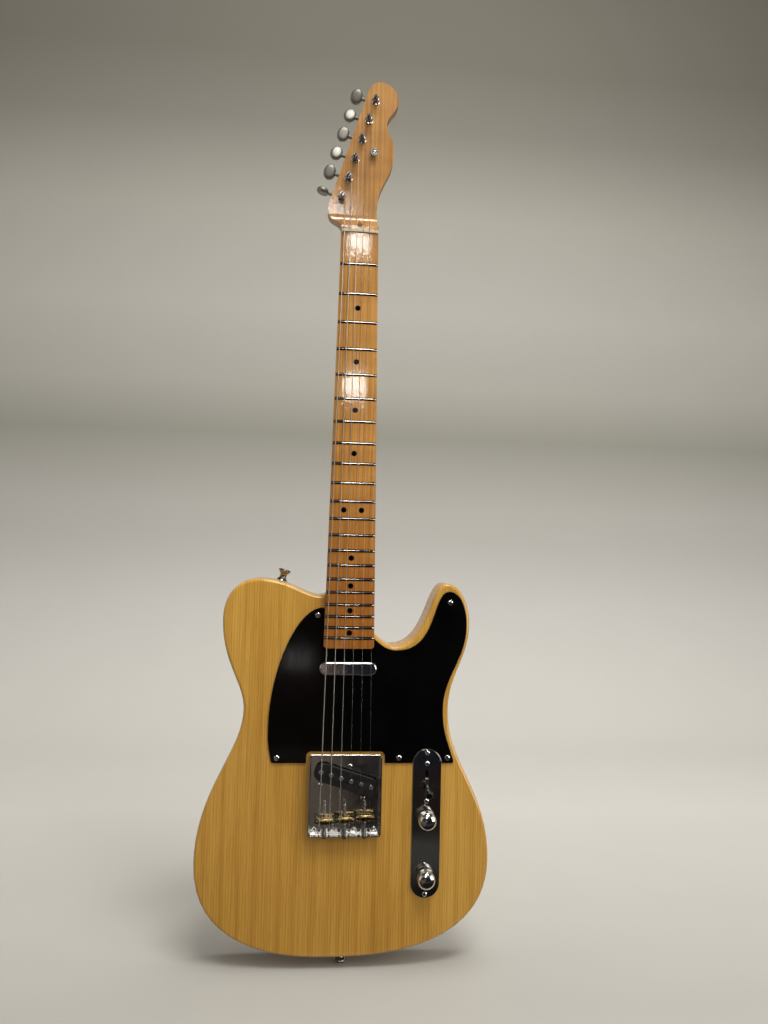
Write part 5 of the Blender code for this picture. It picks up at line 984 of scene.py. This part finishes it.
def make_markers():
    """Dots in the board's face and smaller ones in its bass side, in pairs at the twelfth fret."""
    bm = bmesh.new()
    for number in (3, 5, 7, 9, 12, 15, 17, 19, 21):
        z = (fret_z(number) + fret_z(number - 1)) / 2
        pair = (-1, 1) if number == 12 else (0,)
        for x in (0.0098 * side for side in pair):
            normal = Vector((x / BOARD_RADIUS, -1, 0)).normalized()
            revolve(bm, rod(0.0031, -0.0005, 0.00004), (x, BOARD_Y + board_sag(x), z), normal, 28)
        for height in (z + 0.0022 * side for side in pair):
            x = -half_neck(height)
            spot = (x, BOARD_Y + board_sag(x) + 0.0024, height)
            revolve(bm, rod(0.0010, -0.0005, 0.00005), spot, -RIGHT, 28)
    place(as_object("position_markers", bm, GUARD_BLACK), ROOT, "black_plastic")


# Tuners and string tree

def post_place(index):
    return Vector((-0.0213, HEAD_FRONT, NUT_Z + 0.0432)) + POST_LINE * POST_PITCH * index


def shaft_start(index):
    spot = post_place(index) + POST_LINE * 0.0080
    return Vector((spot.x, HEAD_BACK + GAP + 0.0044, spot.z))


def make_housing(index, node):
    """A stamped cover over a flange and a base plate with two screws, and the shaft's collar."""
    centre = post_place(index) + POST_LINE * 0.0040 + BUTTON_WAY * 0.0016
    low = HEAD_BACK + GAP
    base = 0.0011
    plate = (0.0238, 0.0093, 0.0028, base, 0.0004, 3)
    cover = (0.0184, 0.0150, 0.0052, 0.0088, 0.0024, 6)
    flange = (0.0190, 0.0156, 0.0054, 0.0014, 0.0006, 3)
    bm = bmesh.new()
    for length, width, corner, height, soft, steps in (plate, cover, flange):
        plan = rounded_slot((centre.x, centre.z), length, width, 90 - degrees(POST_TILT), corner)
        slab(bm, plan, low, low + height, 0, soft, steps)
    revolve(bm, rod(0.0033, 0.0070, 0.0078, 0.0003), shaft_start(index), BUTTON_WAY, 28)
    place(flat_caps(as_object(node + "_cover", bm, NICKEL)), ROOT, "nickel", node)
    flat = Vector((centre.x, low + base, centre.z))
    seats = [flat + POST_LINE * 0.0105 * side for side in (-1, 1)]
    screws(node + "_screws", seats, BACK, 0.0013, 0.0006, "nickel", NICKEL)


def make_button(index, number):
    """An oval button on its shaft, turned as the photograph shows it."""
    start = shaft_start(index)
    radius = 0.0021
    edge = 0.0094
    stem = [(0, -0.0047), (radius, -0.0047), (radius, edge), (0.0030, edge), (0.0032, edge + 0.0003)]
    stem += [(0.0032, edge + 0.0013), (0.0028, edge + 0.0017), (radius, edge + 0.0024)]
    stem += [(radius, STEM_LENGTH), (0, STEM_LENGTH)]
    bm = bmesh.new()
    revolve(bm, stem, start, BUTTON_WAY, 28)
    turn = radians(BUTTON_TURNS[index])
    broad = POST_LINE * cos(turn) + BUTTON_WAY.cross(POST_LINE) * sin(turn)
    thick = BUTTON_WAY.cross(broad) * 0.0036
    rim = 0.30
    rings = []
    for level in range(-6, 7):
        rise = radians(15 * level)
        share = rim + (1 - rim) * cos(rise) ** 0.6 if abs(level) < 6 else rim
        middle = start + BUTTON_WAY * STEM_LENGTH + thick * sin(rise)
        sides = [(cos(tau * k / 40) * share, sin(tau * k / 40) * share) for k in range(40)]
        rings.append([middle + BUTTON_WAY * 0.0071 * long + broad * 0.0088 * wide for long, wide in sides])
    loft(bm, rings)
    button = as_object(f"tuner_button_{number}_metal", bm, SATIN, 50)
    place(button, f"button_{number}", "nickel", f"tuner_button_{number}")


def make_post(index, number):
    """A waisted post with a slot across its top for the string's end."""
    rim = 0.0029
    foot = -0.0172
    profile = [(0, foot), (POST_RADIUS, foot), (POST_RADIUS, 0.0024), (rim, 0.0028), (POST_WAIST, 0.0034)]
    profile += [(POST_WAIST, 0.0084), (rim, 0.0092), (POST_RADIUS, 0.0098), (POST_RADIUS, 0.0102)]
    profile += [(rim, 0.0108), (0.0025, 0.0112), (0.0011, 0.0112), (0.0008, 0.0104), (0, 0.0102)]
    spot = post_place(index)
    post = turned_object(f"tuner_post_{number}_metal", profile, [spot], FRONT, DARK_STEEL, 40)
    end = wind_end(index)
    side = Vector((cos(end), 0, sin(end))) * 2 * POST_RADIUS
    across = Vector((-sin(end), 0, cos(end))) * 0.00095
    corners = [side * a + across * b for a, b in ((-1, -1), (1, -1), (1, 1), (-1, 1))]
    slot = [[spot + FRONT * height + corner for corner in corners] for height in (0.0067, 0.03)]
    carve(post, loft_object("post_slot", [slot]))
    place(post, f"post_{number}", "nickel", f"tuner_post_{number}")


def make_head_hardware():
    bore = 0.0034
    collar = [(bore, -0.0004), (0.0051, -0.0004), (0.0051, 0.0004), (0.0049, 0.0008), (0.0045, 0.0012)]
    collar += [(0.0040, 0.0015), (bore, 0.0016)]
    posts = [post_place(k) for k in range(STRING_COUNT)]
    place(turned_object("post_bushings", collar, posts, FRONT, CHROME, 40), ROOT, "nickel")
    top = 0.0052
    tree = [(0, GAP), (0.0027, GAP), (0.0024, 0.0010), (0.0019, 0.0016), (0.0019, 0.0046), (0.0045, 0.0046)]
    tree += [(0.0049, 0.0048), (0.0050, top), (0.0048, 0.0056), (0.0044, 0.0059), (0.0040, 0.0060)]
    tree += [(0.0036, 0.0058), (0.0034, top), (0, top)]
    seat = Vector((0.0144, HEAD_FRONT, TREE_Z))
    place(turned_object("string_tree_disc", tree, [seat], FRONT, SATIN, 40), ROOT, "nickel", "string_tree")
    screws("string_tree_screw", [seat + FRONT * top], FRONT, 0.0027, 0.0008, "nickel", FRET_METAL)
    for index in range(STRING_COUNT):
        number = STRING_COUNT - index
        make_housing(index, f"tuner_housing_{number}")
        make_button(index, number)
        make_post(index, number)


# Strings

def saddle_place(index):
    rise = 0.0132 if index == 1 else 0.0123
    level = BODY_FRONT - rise + STRING_DIAMETERS[2 * index] / 2 + GAP + SADDLE_RADIUS
    return Vector(((index - 1) * 2 * BRIDGE_SPACING, level, BRIDGE_Z - 0.0050 + 0.0020 * index))


def wind_radius(index):
    return POST_WAIST + GAP + STRING_DIAMETERS[index] / 2


def string_at_nut(index):
    x = string_x(index, NUT_SPACING)
    return Vector((x, BOARD_Y + board_sag(x) - 0.0015 - STRING_DIAMETERS[index] / 2, NUT_Z + 0.0016))


def wind_start(index):
    nut, post = string_at_nut(index), post_place(index)
    away = Vector((nut.x - post.x, nut.z - post.z))
    return atan2(away.y, away.x) + acos(wind_radius(index) / away.length)


def wind_end(index):
    return wind_start(index) + tau * (2 + END_TURN)


def around(centre, radius, angle, level):
    return Vector((centre.x + radius * cos(angle), level, centre.z + radius * sin(angle)))


def string_part(index, part, points, body=None, side=None):
    number = STRING_COUNT - index
    look, slot = (WOUND_STRING, "nickel") if index < 3 else (PLAIN_STRING, "steel")
    piece = wire_object(f"string_{number}_{part}", points, STRING_DIAMETERS[index] / 2, look, side)
    return place(piece, body, slot, f"string_{number}")


def make_string(index):
    """A string in three lengths: up to its saddle, from the saddle to its post, and the turns on the post."""
    diameter = STRING_DIAMETERS[index]
    pair = index // 2
    x = string_x(index, BRIDGE_SPACING)
    saddle = saddle_place(pair)
    reach = SADDLE_RADIUS + GAP + diameter / 2
    start = Vector((x, TRAY_FLOOR - diameter, STRING_HOLE_Z))
    away = Vector((start.z - saddle.z, saddle.y - start.y))
    touch = (atan2(away.y, away.x) - acos(reach / away.length)) % tau

    def over_saddle(angle):
        return Vector((x, saddle.y - reach * sin(angle), saddle.z + reach * cos(angle)))

    tail = [Vector((x, BODY_BACK - 0.0035, STRING_HOLE_Z)), Vector((x, TRAY_FLOOR, STRING_HOLE_Z)), start]
    tail += [start.lerp(over_saddle(touch), share) for share in (0.25, 0.6)]
    tail += [over_saddle(touch + (pi / 2 - touch) * k / 8) for k in range(9)]
    piece = string_part(index, "tail", tail, side=RIGHT)
    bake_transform(piece)

    nut = string_at_nut(index)
    half_nut = UP * 0.0016
    leave = over_saddle(pi / 2)
    shares = (0, 0.01, 0.03, 0.05, 0.08, 0.11, 0.14, 0.18, 0.4, 0.7, 1)
    run = [leave.lerp(nut - half_nut, share) for share in shares] + [nut + half_nut]
    post = post_place(index)
    radius = wind_radius(index)
    first = wind_start(index)
    level = HEAD_FRONT - 0.0070 - diameter / 2
    rise = (diameter + 0.00058) * 2
    meet = around(post, radius, first, level + rise)
    if index >= 4:
        share = (TREE_Z - nut.z) / (meet.z - nut.z)
        run.append(Vector((nut.x + (meet.x - nut.x) * share, HEAD_FRONT - 0.0043 + diameter / 2, TREE_Z)))
    piece = string_part(index, "run", run + [meet], side=RIGHT)
    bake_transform(piece)

    turns = [around(post, radius, first + tau * k / 32, meet.y - rise * k / 64) for k in range(65)]
    turns += [around(post, radius, first + tau * (2 + END_TURN * share), level) for share in (0.4, 0.7, 1)]
    turns.append(around(post, -0.2 * radius, wind_end(index), level))
    string_part(index, "turns", turns, f"post_{STRING_COUNT - index}")


# Guard and pickups

def footed_plan(half_top, top, half_foot, foot, corner):
    """An outline with a straight top and two rounded lower corners."""
    outline = [(half_top, top), (-half_top, top)]
    for side in (-1, 1):
        for k in range(9):
            angle = pi / 2 * (k / 8 if side < 0 else 1 - k / 8)
            across = half_foot - corner * (1 - cos(angle))
            outline.append((side * across, foot + corner * (1 - sin(angle))))
    return outline


def make_guard():
    front = GUARD_FACE
    guard = slab_object("guard_sheet", guard_outline(), front, BODY_FRONT - GAP, GUARD_BLACK, 0.0005, 0, 4)
    neck_half = half_neck(HEEL_END_Z) + GAP
    plans = [
        footed_plan(half_neck(TONGUE_Z) + GAP, TONGUE_Z, neck_half, HEEL_END_Z - GAP, 0.0035),
        rounded_slot((0, PLATE_REAR_Z + TRAY_LENGTH / 2), 0.0866, 0.0929, 0, 0.0052, 10),
        control_slot(0.0005),
        neck_pickup_plan(GAP),
    ]
    carve(guard, *[slab_object("guard_cut", plan, front * 2, 0) for plan in plans])
    place(flat_caps(guard), ROOT, "black_plastic", "pickguard")
    spots = ((-0.0347, 0.2166), (0.1131, 0.2332), (-0.0754, 0.0610), (0.0589, 0.0614), (0.1129, 0.0614))
    screws("guard_screws", [(x, front, BRIDGE_Z + z) for x, z in spots], FRONT, 0.0030, 0.0015)


def make_neck_pickup():
    plan = neck_pickup_plan(0, 20)
    top = GUARD_FACE - 0.0042
    cover = slab_object("neck_pickup_metal", plan, top, BODY_FRONT + 0.0117, CHROME, 0.0022, 0, 8)
    place(flat_caps(cover), ROOT, "chrome", "neck_pickup_cover")


def on_pickup(along, across, level):
    """A point given along and across the slanted pickup."""
    way = heading(PICKUP_SLANT)
    return (PICKUP_X + along * way.x - across * way.y, level, PICKUP_Z + along * way.y + across * way.x)


def make_bridge_pickup():
    top = BODY_FRONT - 0.0078
    foot = BODY_FRONT + 0.0162
    bm = bmesh.new()
    slab(bm, bridge_pickup_plan(0, 10), top, top + 0.0024, 0.0006, 0.0002, 4)
    slab(bm, bridge_pickup_plan(-0.0012, 10), top + 0.0010, foot - 0.0012)
    slab(bm, bridge_pickup_plan(0, 10), foot - 0.0024, foot, 0.0003, 0)
    place(flat_caps(as_object("bridge_pickup_bobbin", bm, FIBRE)), ROOT, "black_fibre", "bridge_pickup")
    pitch = 0.0110 / cos(radians(PICKUP_SLANT))
    spots = [on_pickup(string_x(k, pitch), 0, top) for k in range(STRING_COUNT)]
    pole = rod(0.0024, -0.0010, 0.0009, 0.0002)
    place(turned_object("pickup_poles", pole, spots, FRONT, STEEL), ROOT, "steel")


# Bridge

def tray_plan(inset_by, reach=0.0):
    half = TRAY_WIDTH / 2 - inset_by
    top = PLATE_REAR_Z + TRAY_LENGTH + reach
    return footed_plan(half, top, half, PLATE_REAR_Z + inset_by, 0.0034 - inset_by)


def make_bridge_plate():
    """A bent tray: side and rear walls, an open front, and a window for the slanted pickup."""
    low = BODY_FRONT - GAP
    plate = slab_object("bridge_tray", tray_plan(0), low - 0.0118, low, AGED_CHROME, 0.0004, 0, 3)
    high = BODY_FRONT * 3
    saddles = [saddle_place(k) for k in range(3)]
    wall_holes = [(spot.x, spot.y, PLATE_REAR_Z) for spot in saddles]
    carve(
        plate,
        slab_object("tray_cut", tray_plan(TRAY_SHEET, 0.05), high, TRAY_FLOOR, None, 0, 0.0010, 5),
        slab_object("window_cut", bridge_pickup_plan(0.0008, 10), high, 0),
        bores("plate_hole_cut", string_hole_places(), BACK, 0.0016, BODY_FRONT * 2, 0, 32),
        bores("wall_hole_cut", wall_holes, UP, 0.0017, -0.0034, 0.0034, 32),
    )
    place(flat_caps(plate), ROOT, "chrome", "bridge_plate")
    middle = (0, TRAY_FLOOR + 0.0003, PLATE_REAR_Z + 0.0850)
    edge = turned_object("bridge_front_edge", rod(0.0007, -0.0384, 0.0384), [middle], RIGHT, CHROME, 16)
    place(edge, ROOT, "chrome", "bridge_plate")
    seats = [(reach * BRIDGE_SPACING, TRAY_FLOOR, STRING_HOLE_Z + 0.0012) for reach in (-3, -1, 1, 3)]
    screws("bridge_screws", seats, FRONT, 0.00255, 0.0013)
    seats = [on_pickup(*spot, TRAY_FLOOR) for spot in ((0, 0.0142), (-0.0245, -0.0142), (0.0245, -0.0142))]
    screws("pickup_height_screws", seats, FRONT, 0.00255, 0.0015)


def make_saddle(index, name):
    """A barrel bored for its intonation screw, on two grub screws."""
    centre = saddle_place(index)
    body = "saddle_" + name
    half = 0.0105
    radius = SADDLE_RADIUS
    soft = 0.0006
    profile = [(0, -half), (radius - soft, -half)]
    profile += [(radius - soft / 3, soft / 3 - half), (radius, soft - half)]
    profile += [(reach, -height) for reach, height in reversed(profile)]
    barrel = turned_object(body + "_barrel", profile, [centre], RIGHT, BRASS, 56)
    spots = [centre + RIGHT * side * (half - 0.0018) for side in (-1, 1)]
    carve(
        barrel,
        bores("saddle_bore", [centre], UP, 0.0016, -radius * 2, radius * 2, 28),
        bores("grub_bore", spots, FRONT, 0.00145, 0, radius * 2, 28),
    )
    place(barrel, body, "brass", body)
    foot = centre.y - TRAY_FLOOR + GAP
    socket = radius - 0.0012
    grub = [(0, foot), (0.0009, foot), (0.0014, foot + 0.0005), (0.0014, radius - 0.0002), (0.0012, radius)]
    grub += [(0.0007, radius), (0.0007, socket), (0, socket)]
    place(turned_object(body + "_grubs", grub, spots, FRONT, DARK_STEEL, 24), body, "steel")


def make_intonation_screw(index, name):
    """A slotted head behind the rear wall and a threaded shank through the saddle."""
    centre = saddle_place(index)
    seat = Vector((centre.x, centre.y, PLATE_REAR_Z - GAP))
    length = BRIDGE_Z + 0.0130 - seat.z
    profile = [(0, -0.0016), (0.0019, -0.0020), (0.0024, -0.0017), (0.0027, -0.0011), (0.0027, 0)]
    profile += [(SCREW_RADIUS, 0), (SCREW_RADIUS, 0.0016)]
    height = 0.0020
    while height < length - SCREW_PITCH:
        profile += [(SCREW_RADIUS, height), (0.00122, height + SCREW_PITCH / 2)]
        height += SCREW_PITCH
    profile += [(SCREW_RADIUS, height), (0.0010, length), (0, length)]
    screw = turned_object(f"intonation_{name}_screw", profile, [seat], UP, DARK_STEEL, 20)
    corners = ((-0.004, -0.0003), (0.004, -0.0003), (0.004, 0.0003), (-0.004, 0.0003))
    slot = [[seat + Vector((x, y, z)) for x, y in corners] for z in (-0.004, -0.0012)]
    carve(screw, loft_object("driver_slot", [slot]))
    place(screw, "screw_" + name, "steel", "intonation_screw_" + name)


def make_spring(index, name):
    """A coil round the screw, from the rear wall to the saddle, with a closed turn at each end."""
    centre = saddle_place(index)
    low = PLATE_REAR_Z + TRAY_SHEET + GAP
    high = centre.z - SADDLE_RADIUS - GAP
    margin = 0.0004
    reach = SCREW_RADIUS + GAP * 1.5 + 0.00035
    turns = 5
    points = []
    for k in range(-20, turns * 20 + 21):
        angle = tau * k / 20
        height = low + margin + (high - low - 2 * margin) * min(max(k / (turns * 20), 0), 1)
        points.append(Vector((centre.x + reach * cos(angle), centre.y + reach * sin(angle), height)))
    wire = wire_object(f"spring_{name}_wire", points, 0.00033, DARK_STEEL, None, 8)
    spring = place(wire, None, "steel", "spring_" + name)
    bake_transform(spring)


# Controls and jack

def make_controls():
    front = BODY_FRONT - GAP - 0.0013
    plate = slab_object("control_metal", control_slot(0, 24), front, BODY_FRONT - GAP, CHROME, 0.0005, 0, 4)
    lever_slot = rounded_slot((CONTROL_X, SWITCH_Z), 0.0270, 0.0034, 90, None, 10)
    dials = {"volume": VOLUME_Z, "tone": TONE_Z}
    carve(
        plate,
        slab_object("lever_cut", lever_slot, front * 2, 0),
        bores("bush_cut", [(CONTROL_X, 0, z) for z in dials.values()], BACK, 0.0050, front * 2, 0, 32),
    )
    place(flat_caps(plate), ROOT, "chrome", "control_plate")
    end = CONTROL_LENGTH / 2 - 0.0042
    switch_half = 0.0413 / 2
    heights = [CONTROL_Z + end, CONTROL_Z - end, SWITCH_Z - switch_half, SWITCH_Z + switch_half]
    screws("control_screws", [(CONTROL_X, front, z) for z in heights], FRONT, 0.0027, 0.0013)
    for dial, z in dials.items():
        make_knob(dial, Vector((CONTROL_X, front - 0.0026, z)))
    make_tip()


def make_knob(dial, seat):
    """A crosswise knurled barrel with a polished domed top."""
    radius = 0.0095
    bore = 0.0034
    depth = 0.0095
    top = 0.0104
    rows = 14
    profile = [(bore, depth), (bore, 0.0002), (0.0036, 0), (radius - 0.0006, 0), (radius, 0.0004)]
    teeth = (0.00035, len(profile), len(profile) + rows)
    profile += [(radius, 0.0006 + 0.0096 * k / rows) for k in range(rows + 1)]
    profile += [(radius - 0.0004, top), (0, top), (0, depth)]
    barrel = turned_object(dial + "_knob_barrel", profile, [seat], FRONT, KNURLED, 80, teeth)
    barrel.data.shade_flat()
    place(barrel, dial, "chrome", dial + "_knob")
    dome = [(0, 0.0100), (radius - 0.0004, 0.0100), (radius, top), (radius - 0.0001, 0.0108)]
    for slope in range(12, 90, 8):
        across, up = heading(slope)
        dome.append(((radius - 0.0003) * across, top + 0.0046 * up))
    dome.append((0, top + 0.0046))
    place(turned_object(dial + "_knob_dome", dome, [seat], FRONT, CHROME, 56), dial, "chrome", dial + "_knob")


def make_tip():
    """The lever's black cap: a barrel that swells towards a rounded end."""
    tilt = radians(14.5)
    way = Vector((0, -cos(tilt), -sin(tilt)))
    seat = Vector((CONTROL_X, BODY_FRONT + 0.0105, SWITCH_Z)) + way * 0.0240
    length = 0.0110
    radius = 0.0046
    shares = [(0, 0), (0.66, 0), (0.72, 0.03), (0.76, 0.12), (0.86, 0.28), (0.97, 0.45), (1, 0.58), (1, 0.72)]
    shares += [(0.96, 0.84), (0.84, 0.94), (0.66, 0.985), (0.4, 1), (0, 1)]
    profile = [(radius * across, length * up) for across, up in shares]
    cap = turned_object("switch_tip_cap", profile, [seat], way, BLACK, 40)
    place(cap, "selector", "black_plastic", "switch_tip")


def make_jack_cup():
    """A flanged cup let into the lower side, open for the plug."""
    seat = (BOUT, 0, BODY_FOOT + BOUT_HEIGHT)
    hole = 0.0050
    outer = [(hole, -0.0125), (0.0104, -0.0125), (0.0110, -0.0113), (0.0110, -0.0012)]
    flange = [(0.0127, -0.0012), (0.0127, -0.0005), (0.0124, -0.0001), (0.0120, 0), (0.0101, 0)]
    inner = [(0.0098, -0.0004), (0.0097, -0.0100), (0.0092, -0.0111), (0.0085, -0.0113), (hole, -0.0113)]
    cup = turned_object("jack_cup_metal", outer + flange + inner, [seat], RIGHT, CHROME, 56)
    place(cup, ROOT, "chrome", "jack_cup")


# Camera, light and setting

def make_camera():
    data = bpy.data.cameras.new("photo_camera")
    data.lens = 27.04
    data.sensor_width = 36
    camera = bpy.data.objects.new("photo_camera", data)
    right = Vector((0.995662, -0.089850, 0.024156))
    down = Vector((0.028812, 0.050883, -0.998289))
    forward = Vector((0.088467, 0.994655, 0.053251))
    turn = Matrix((right, -down, -forward)).transposed().to_4x4()
    camera.matrix_world = Matrix.Translation((-0.0407, -0.8824, 0.4539)) @ turn
    scene = bpy.context.scene
    scene.collection.objects.link(camera)
    scene.camera = camera
    scene.view_settings.view_transform = "Standard"


def soft_light(name, location, target, size, power, glossy=True, diffuse=True):
    data = bpy.data.lights.new(name, "AREA")
    data.shape = "RECTANGLE"
    data.size, data.size_y = size
    data.energy = power
    data.color = (1.0, 0.985, 0.95)
    lamp = bpy.data.objects.new(name, data)
    lamp.location = location
    lamp.rotation_euler = (Vector(target) - Vector(location)).to_track_quat("-Z", "Y").to_euler()
    lamp.visible_glossy = glossy
    lamp.visible_diffuse = diffuse
    bpy.context.scene.collection.objects.link(lamp)


def sheet(name, profile, look):
    """A wide sheet with one section, given as (y, z) points."""
    bm = bmesh.new()
    rows = [[bm.verts.new((x, y, z)) for y, z in profile] for x in (-3.5, 3.5)]
    for k in range(len(profile) - 1):
        bm.faces.new((rows[0][k], rows[1][k], rows[1][k + 1], rows[0][k + 1]))
    return as_object(name, bm, look.material)


def sweep(y, radius, z, steps):
    """Points of a quarter circle that rises from the floor; a negative radius turns it round."""
    points = []
    for k in range(1, steps + 1):
        angle = pi / 2 * k / steps
        points.append((y + radius * sin(angle), z + abs(radius) * (1 - cos(angle))))
    return points


# Painted light and shade of the floor and backdrop, by height in metres
BACKDROP_HEIGHT = 2.2
BACKDROP_TONES = [
    (0.00, (0.550, 0.531, 0.494)),
    (0.30, (0.481, 0.468, 0.443)),
    (0.59, (0.386, 0.374, 0.348)),
    (0.80, (0.249, 0.242, 0.211)),
    (0.95, (0.319, 0.308, 0.275)),
    (1.18, (0.343, 0.327, 0.300)),
    (1.48, (0.275, 0.263, 0.231)),
    (1.75, (0.158, 0.149, 0.126)),
    (1.97, (0.122, 0.113, 0.092)),
]


def make_backdrop():
    """A pale floor that sweeps up into a plain backdrop, with painted light and shade: toned by height as in
    a studio's fall-off, and darker towards the camera.
    """
    floor_z = -0.0004
    wall_y = 1.40
    bend = 0.50
    profile = [(-3.0, floor_z), (-1.2, floor_z), (0, floor_z), (wall_y - bend, floor_z)]
    profile += sweep(wall_y - bend, bend, floor_z, 12) + [(wall_y, 3.2)]
    look = Look("backdrop_look", 0.85)
    tones = [(z / BACKDROP_HEIGHT, colour) for z, colour in BACKDROP_TONES]
    look.paint(look.along("Z", 0, BACKDROP_HEIGHT), *tones)
    look.shade(0.5, look.noise(9, detail=4), (0.3, (0.97, 0.97, 0.97)), (0.7, WHITE))
    # Painted shade: the floor darker towards the camera.
    look.shade(1.0, look.along("Y", -0.1, 0.5), (0.0, (0.70, 0.70, 0.69)), (1.0, WHITE))
    backdrop = sheet("backdrop", profile, look)


# Painted reflections: glow of the reflection card for what lies in front, from the guitar's foot to the far
# wall, at its left and right
LEFT_ROOM = [
    (0.00, (0.014, 0.012, 0.010)),
    (0.10, (0.098, 0.088, 0.072)),
    (0.16, (0.094, 0.080, 0.064)),
    (0.29, (0.118, 0.094, 0.074)),
    (0.31, (0.340, 0.290, 0.240)),
    (0.34, (0.050, 0.040, 0.034)),
    (0.78, (0.130, 0.065, 0.040)),
    (1.00, (0.025, 0.024, 0.024)),
]
RIGHT_ROOM = [
    (0.00, (0.016, 0.015, 0.014)),
    (0.06, (0.007, 0.006, 0.006)),
    (0.09, (0.044, 0.042, 0.039)),
    (0.12, (0.046, 0.044, 0.040)),
    (0.14, (0.008, 0.007, 0.006)),
    (0.24, (0.017, 0.011, 0.009)),
    (0.30, (0.007, 0.009, 0.014)),
    (0.70, (0.008, 0.012, 0.022)),
    (1.00, (0.016, 0.015, 0.015)),
]


def make_reflection_card():
    """A glowing sheet seen by reflections only: painted reflections of a dim room in front, for polished
    metal to mirror.
    """
    near_y = -0.06
    far_y = -2.8
    floor_z = 0.0003
    bend = 0.5
    profile = [(near_y, floor_z), (far_y + bend, floor_z), *sweep(far_y + bend, -bend, floor_z, 8)]
    profile += [(far_y, 3.1), (1.38, 3.1), (1.38, 1.15)]
    look = Look("dim_room_look", 1.0, level=0)
    depth = look.along("Y", near_y, far_y)
    reflection_wobble = {0: look.noise(5, distortion=0.5), 1: 0.12, 2: look.axis("X")}
    across = add_node(look.tree, "Math", "Value", reflection_wobble, operation="MULTIPLY_ADD")
    side = look.spread(across, 0, 1, 0.075, 0.105)
    room = look.mix(look.ramp(depth, *LEFT_ROOM), look.ramp(depth, *RIGHT_ROOM), side)
    ceiling = look.ramp(look.noise(2, (1, 1, 0.6), 2), (0.4, (0.20, 0.19, 0.17)), (0.6, (0.60, 0.58, 0.54)))
    nearer = look.ramp(look.along("Y", -2.7, -1.9), (0.0, WHITE), (1.0, (0.10, 0.10, 0.10)))
    lit = look.mix(room, look.mix(ceiling, nearer, 1.0, "MULTIPLY"), look.along("Z", 1.7, 2.9))
    rear = look.ramp(look.along("Z", 1.15, 1.6), (0.0, (0.30, 0.28, 0.24)), (1.0, (0.07, 0.066, 0.058)))
    glow = look.mix(lit, rear, look.along("Y", 1.2, 1.3))
    # Painted reflections: the sheet glows with these tones.
    look.set({"Base Color": (0, 0, 0, 1), "Emission Color": glow, "Emission Strength": 1})
    card = sheet("reflection_card", profile, look)
    card.visible_camera = False
    card.visible_diffuse = False
    card.visible_shadow = False
    card.visible_transmission = False


def make_world():
    """Even surroundings, paler where the camera or a mirror sees them past the sweep."""
    world = bpy.data.worlds.new("surroundings")
    world.use_nodes = True
    bpy.context.scene.world = world
    tree = world.node_tree
    rays = tree.nodes.new("ShaderNodeLightPath").outputs
    shown = rays["Is Camera Ray"]
    for kind in ("Is Glossy Ray", "Is Transmission Ray"):
        shown = add_node(tree, "Math", "Value", {0: shown, 1: rays[kind]}, operation="MAXIMUM")
    tones = {"A": (0.24, 0.235, 0.225, 1), "B": (0.55, 0.54, 0.51, 1), "Factor": shown}
    colour = add_node(tree, "Mix", "Result", tones, data_type="RGBA")
    fill(tree, tree.nodes["Background"], {"Color": colour, "Strength": 1.0})


def mirrored(height):
    """Height of a small lamp that the lacquered front shows at the given height."""
    return 3.275 * height - 1.033


def make_lights():
    """Broad soft light from above, the front and the side, and small lamps that the gloss mirrors."""
    soft_light("overhead", (0.4, -1.15, 2.6), (0, 0, 0.4), (1.2, 0.55), 42)
    soft_light("top_light", (0.3, -0.1, 2.4), (0, 0, 0.4), (1.6, 0.9), 14, glossy=False)
    soft_light("front_fill", (1.3, -1.6, 1.6), (0, 0, 0.45), (1.6, 1.6), 28, glossy=False)
    soft_light("backdrop_wash", (0, 0.1, 2.6), (0, 1.3, 0.8), (2.5, 0.8), 24, glossy=False)
    soft_light("side_gloss", (1.9, -1.2, 0.6), (0, 0, 0.3), (1.2, 1.4), 26, diffuse=False)
    y = -1.95
    strip = (0.62, 0.06)
    nut_z = mirrored(NUT_Z - 0.012)
    neck_z = mirrored((fret_z(5) + fret_z(6)) / 2)
    soft_light("nut_gloss", (0.08, y, nut_z), (0, 0, 0.79), strip, 3.2, diffuse=False)
    soft_light("neck_gloss", (0.05, y, neck_z), (0, 0, 0.64), strip, 3.2, diffuse=False)
    soft_light("head_gloss", (-0.02, y, 1.70), (0, 0, 0.85), (0.13, 0.10), 0.65, diffuse=False)
    soft_light("guard_gloss", (-0.09, y, 0.07), (0, 0, 0.33), (0.10, 0.07), 0.05, diffuse=False)


make_camera()
make_world()
make_lights()
make_backdrop()
make_reflection_card()
make_body()
make_back_hardware()
make_neck()
make_frets()
make_markers()
make_head_hardware()
for string in range(STRING_COUNT):
    make_string(string)
make_guard()
make_neck_pickup()
make_bridge_plate()
make_bridge_pickup()
for number, trio_name in enumerate(("bass", "middle", "treble")):
    make_saddle(number, trio_name)
    make_intonation_screw(number, trio_name)
    make_spring(number, trio_name)
make_controls()
make_jack_cup()
dress(BONE, "nut")
dress(STEEL, "truss_rod", "switch_frame", "volume_pot", "tone_pot", "volume_shaft", "tone_shaft")
dress(NICKEL, "jack_socket", "switch_lever")
dress(FIBRE, "neck_pickup_coil")
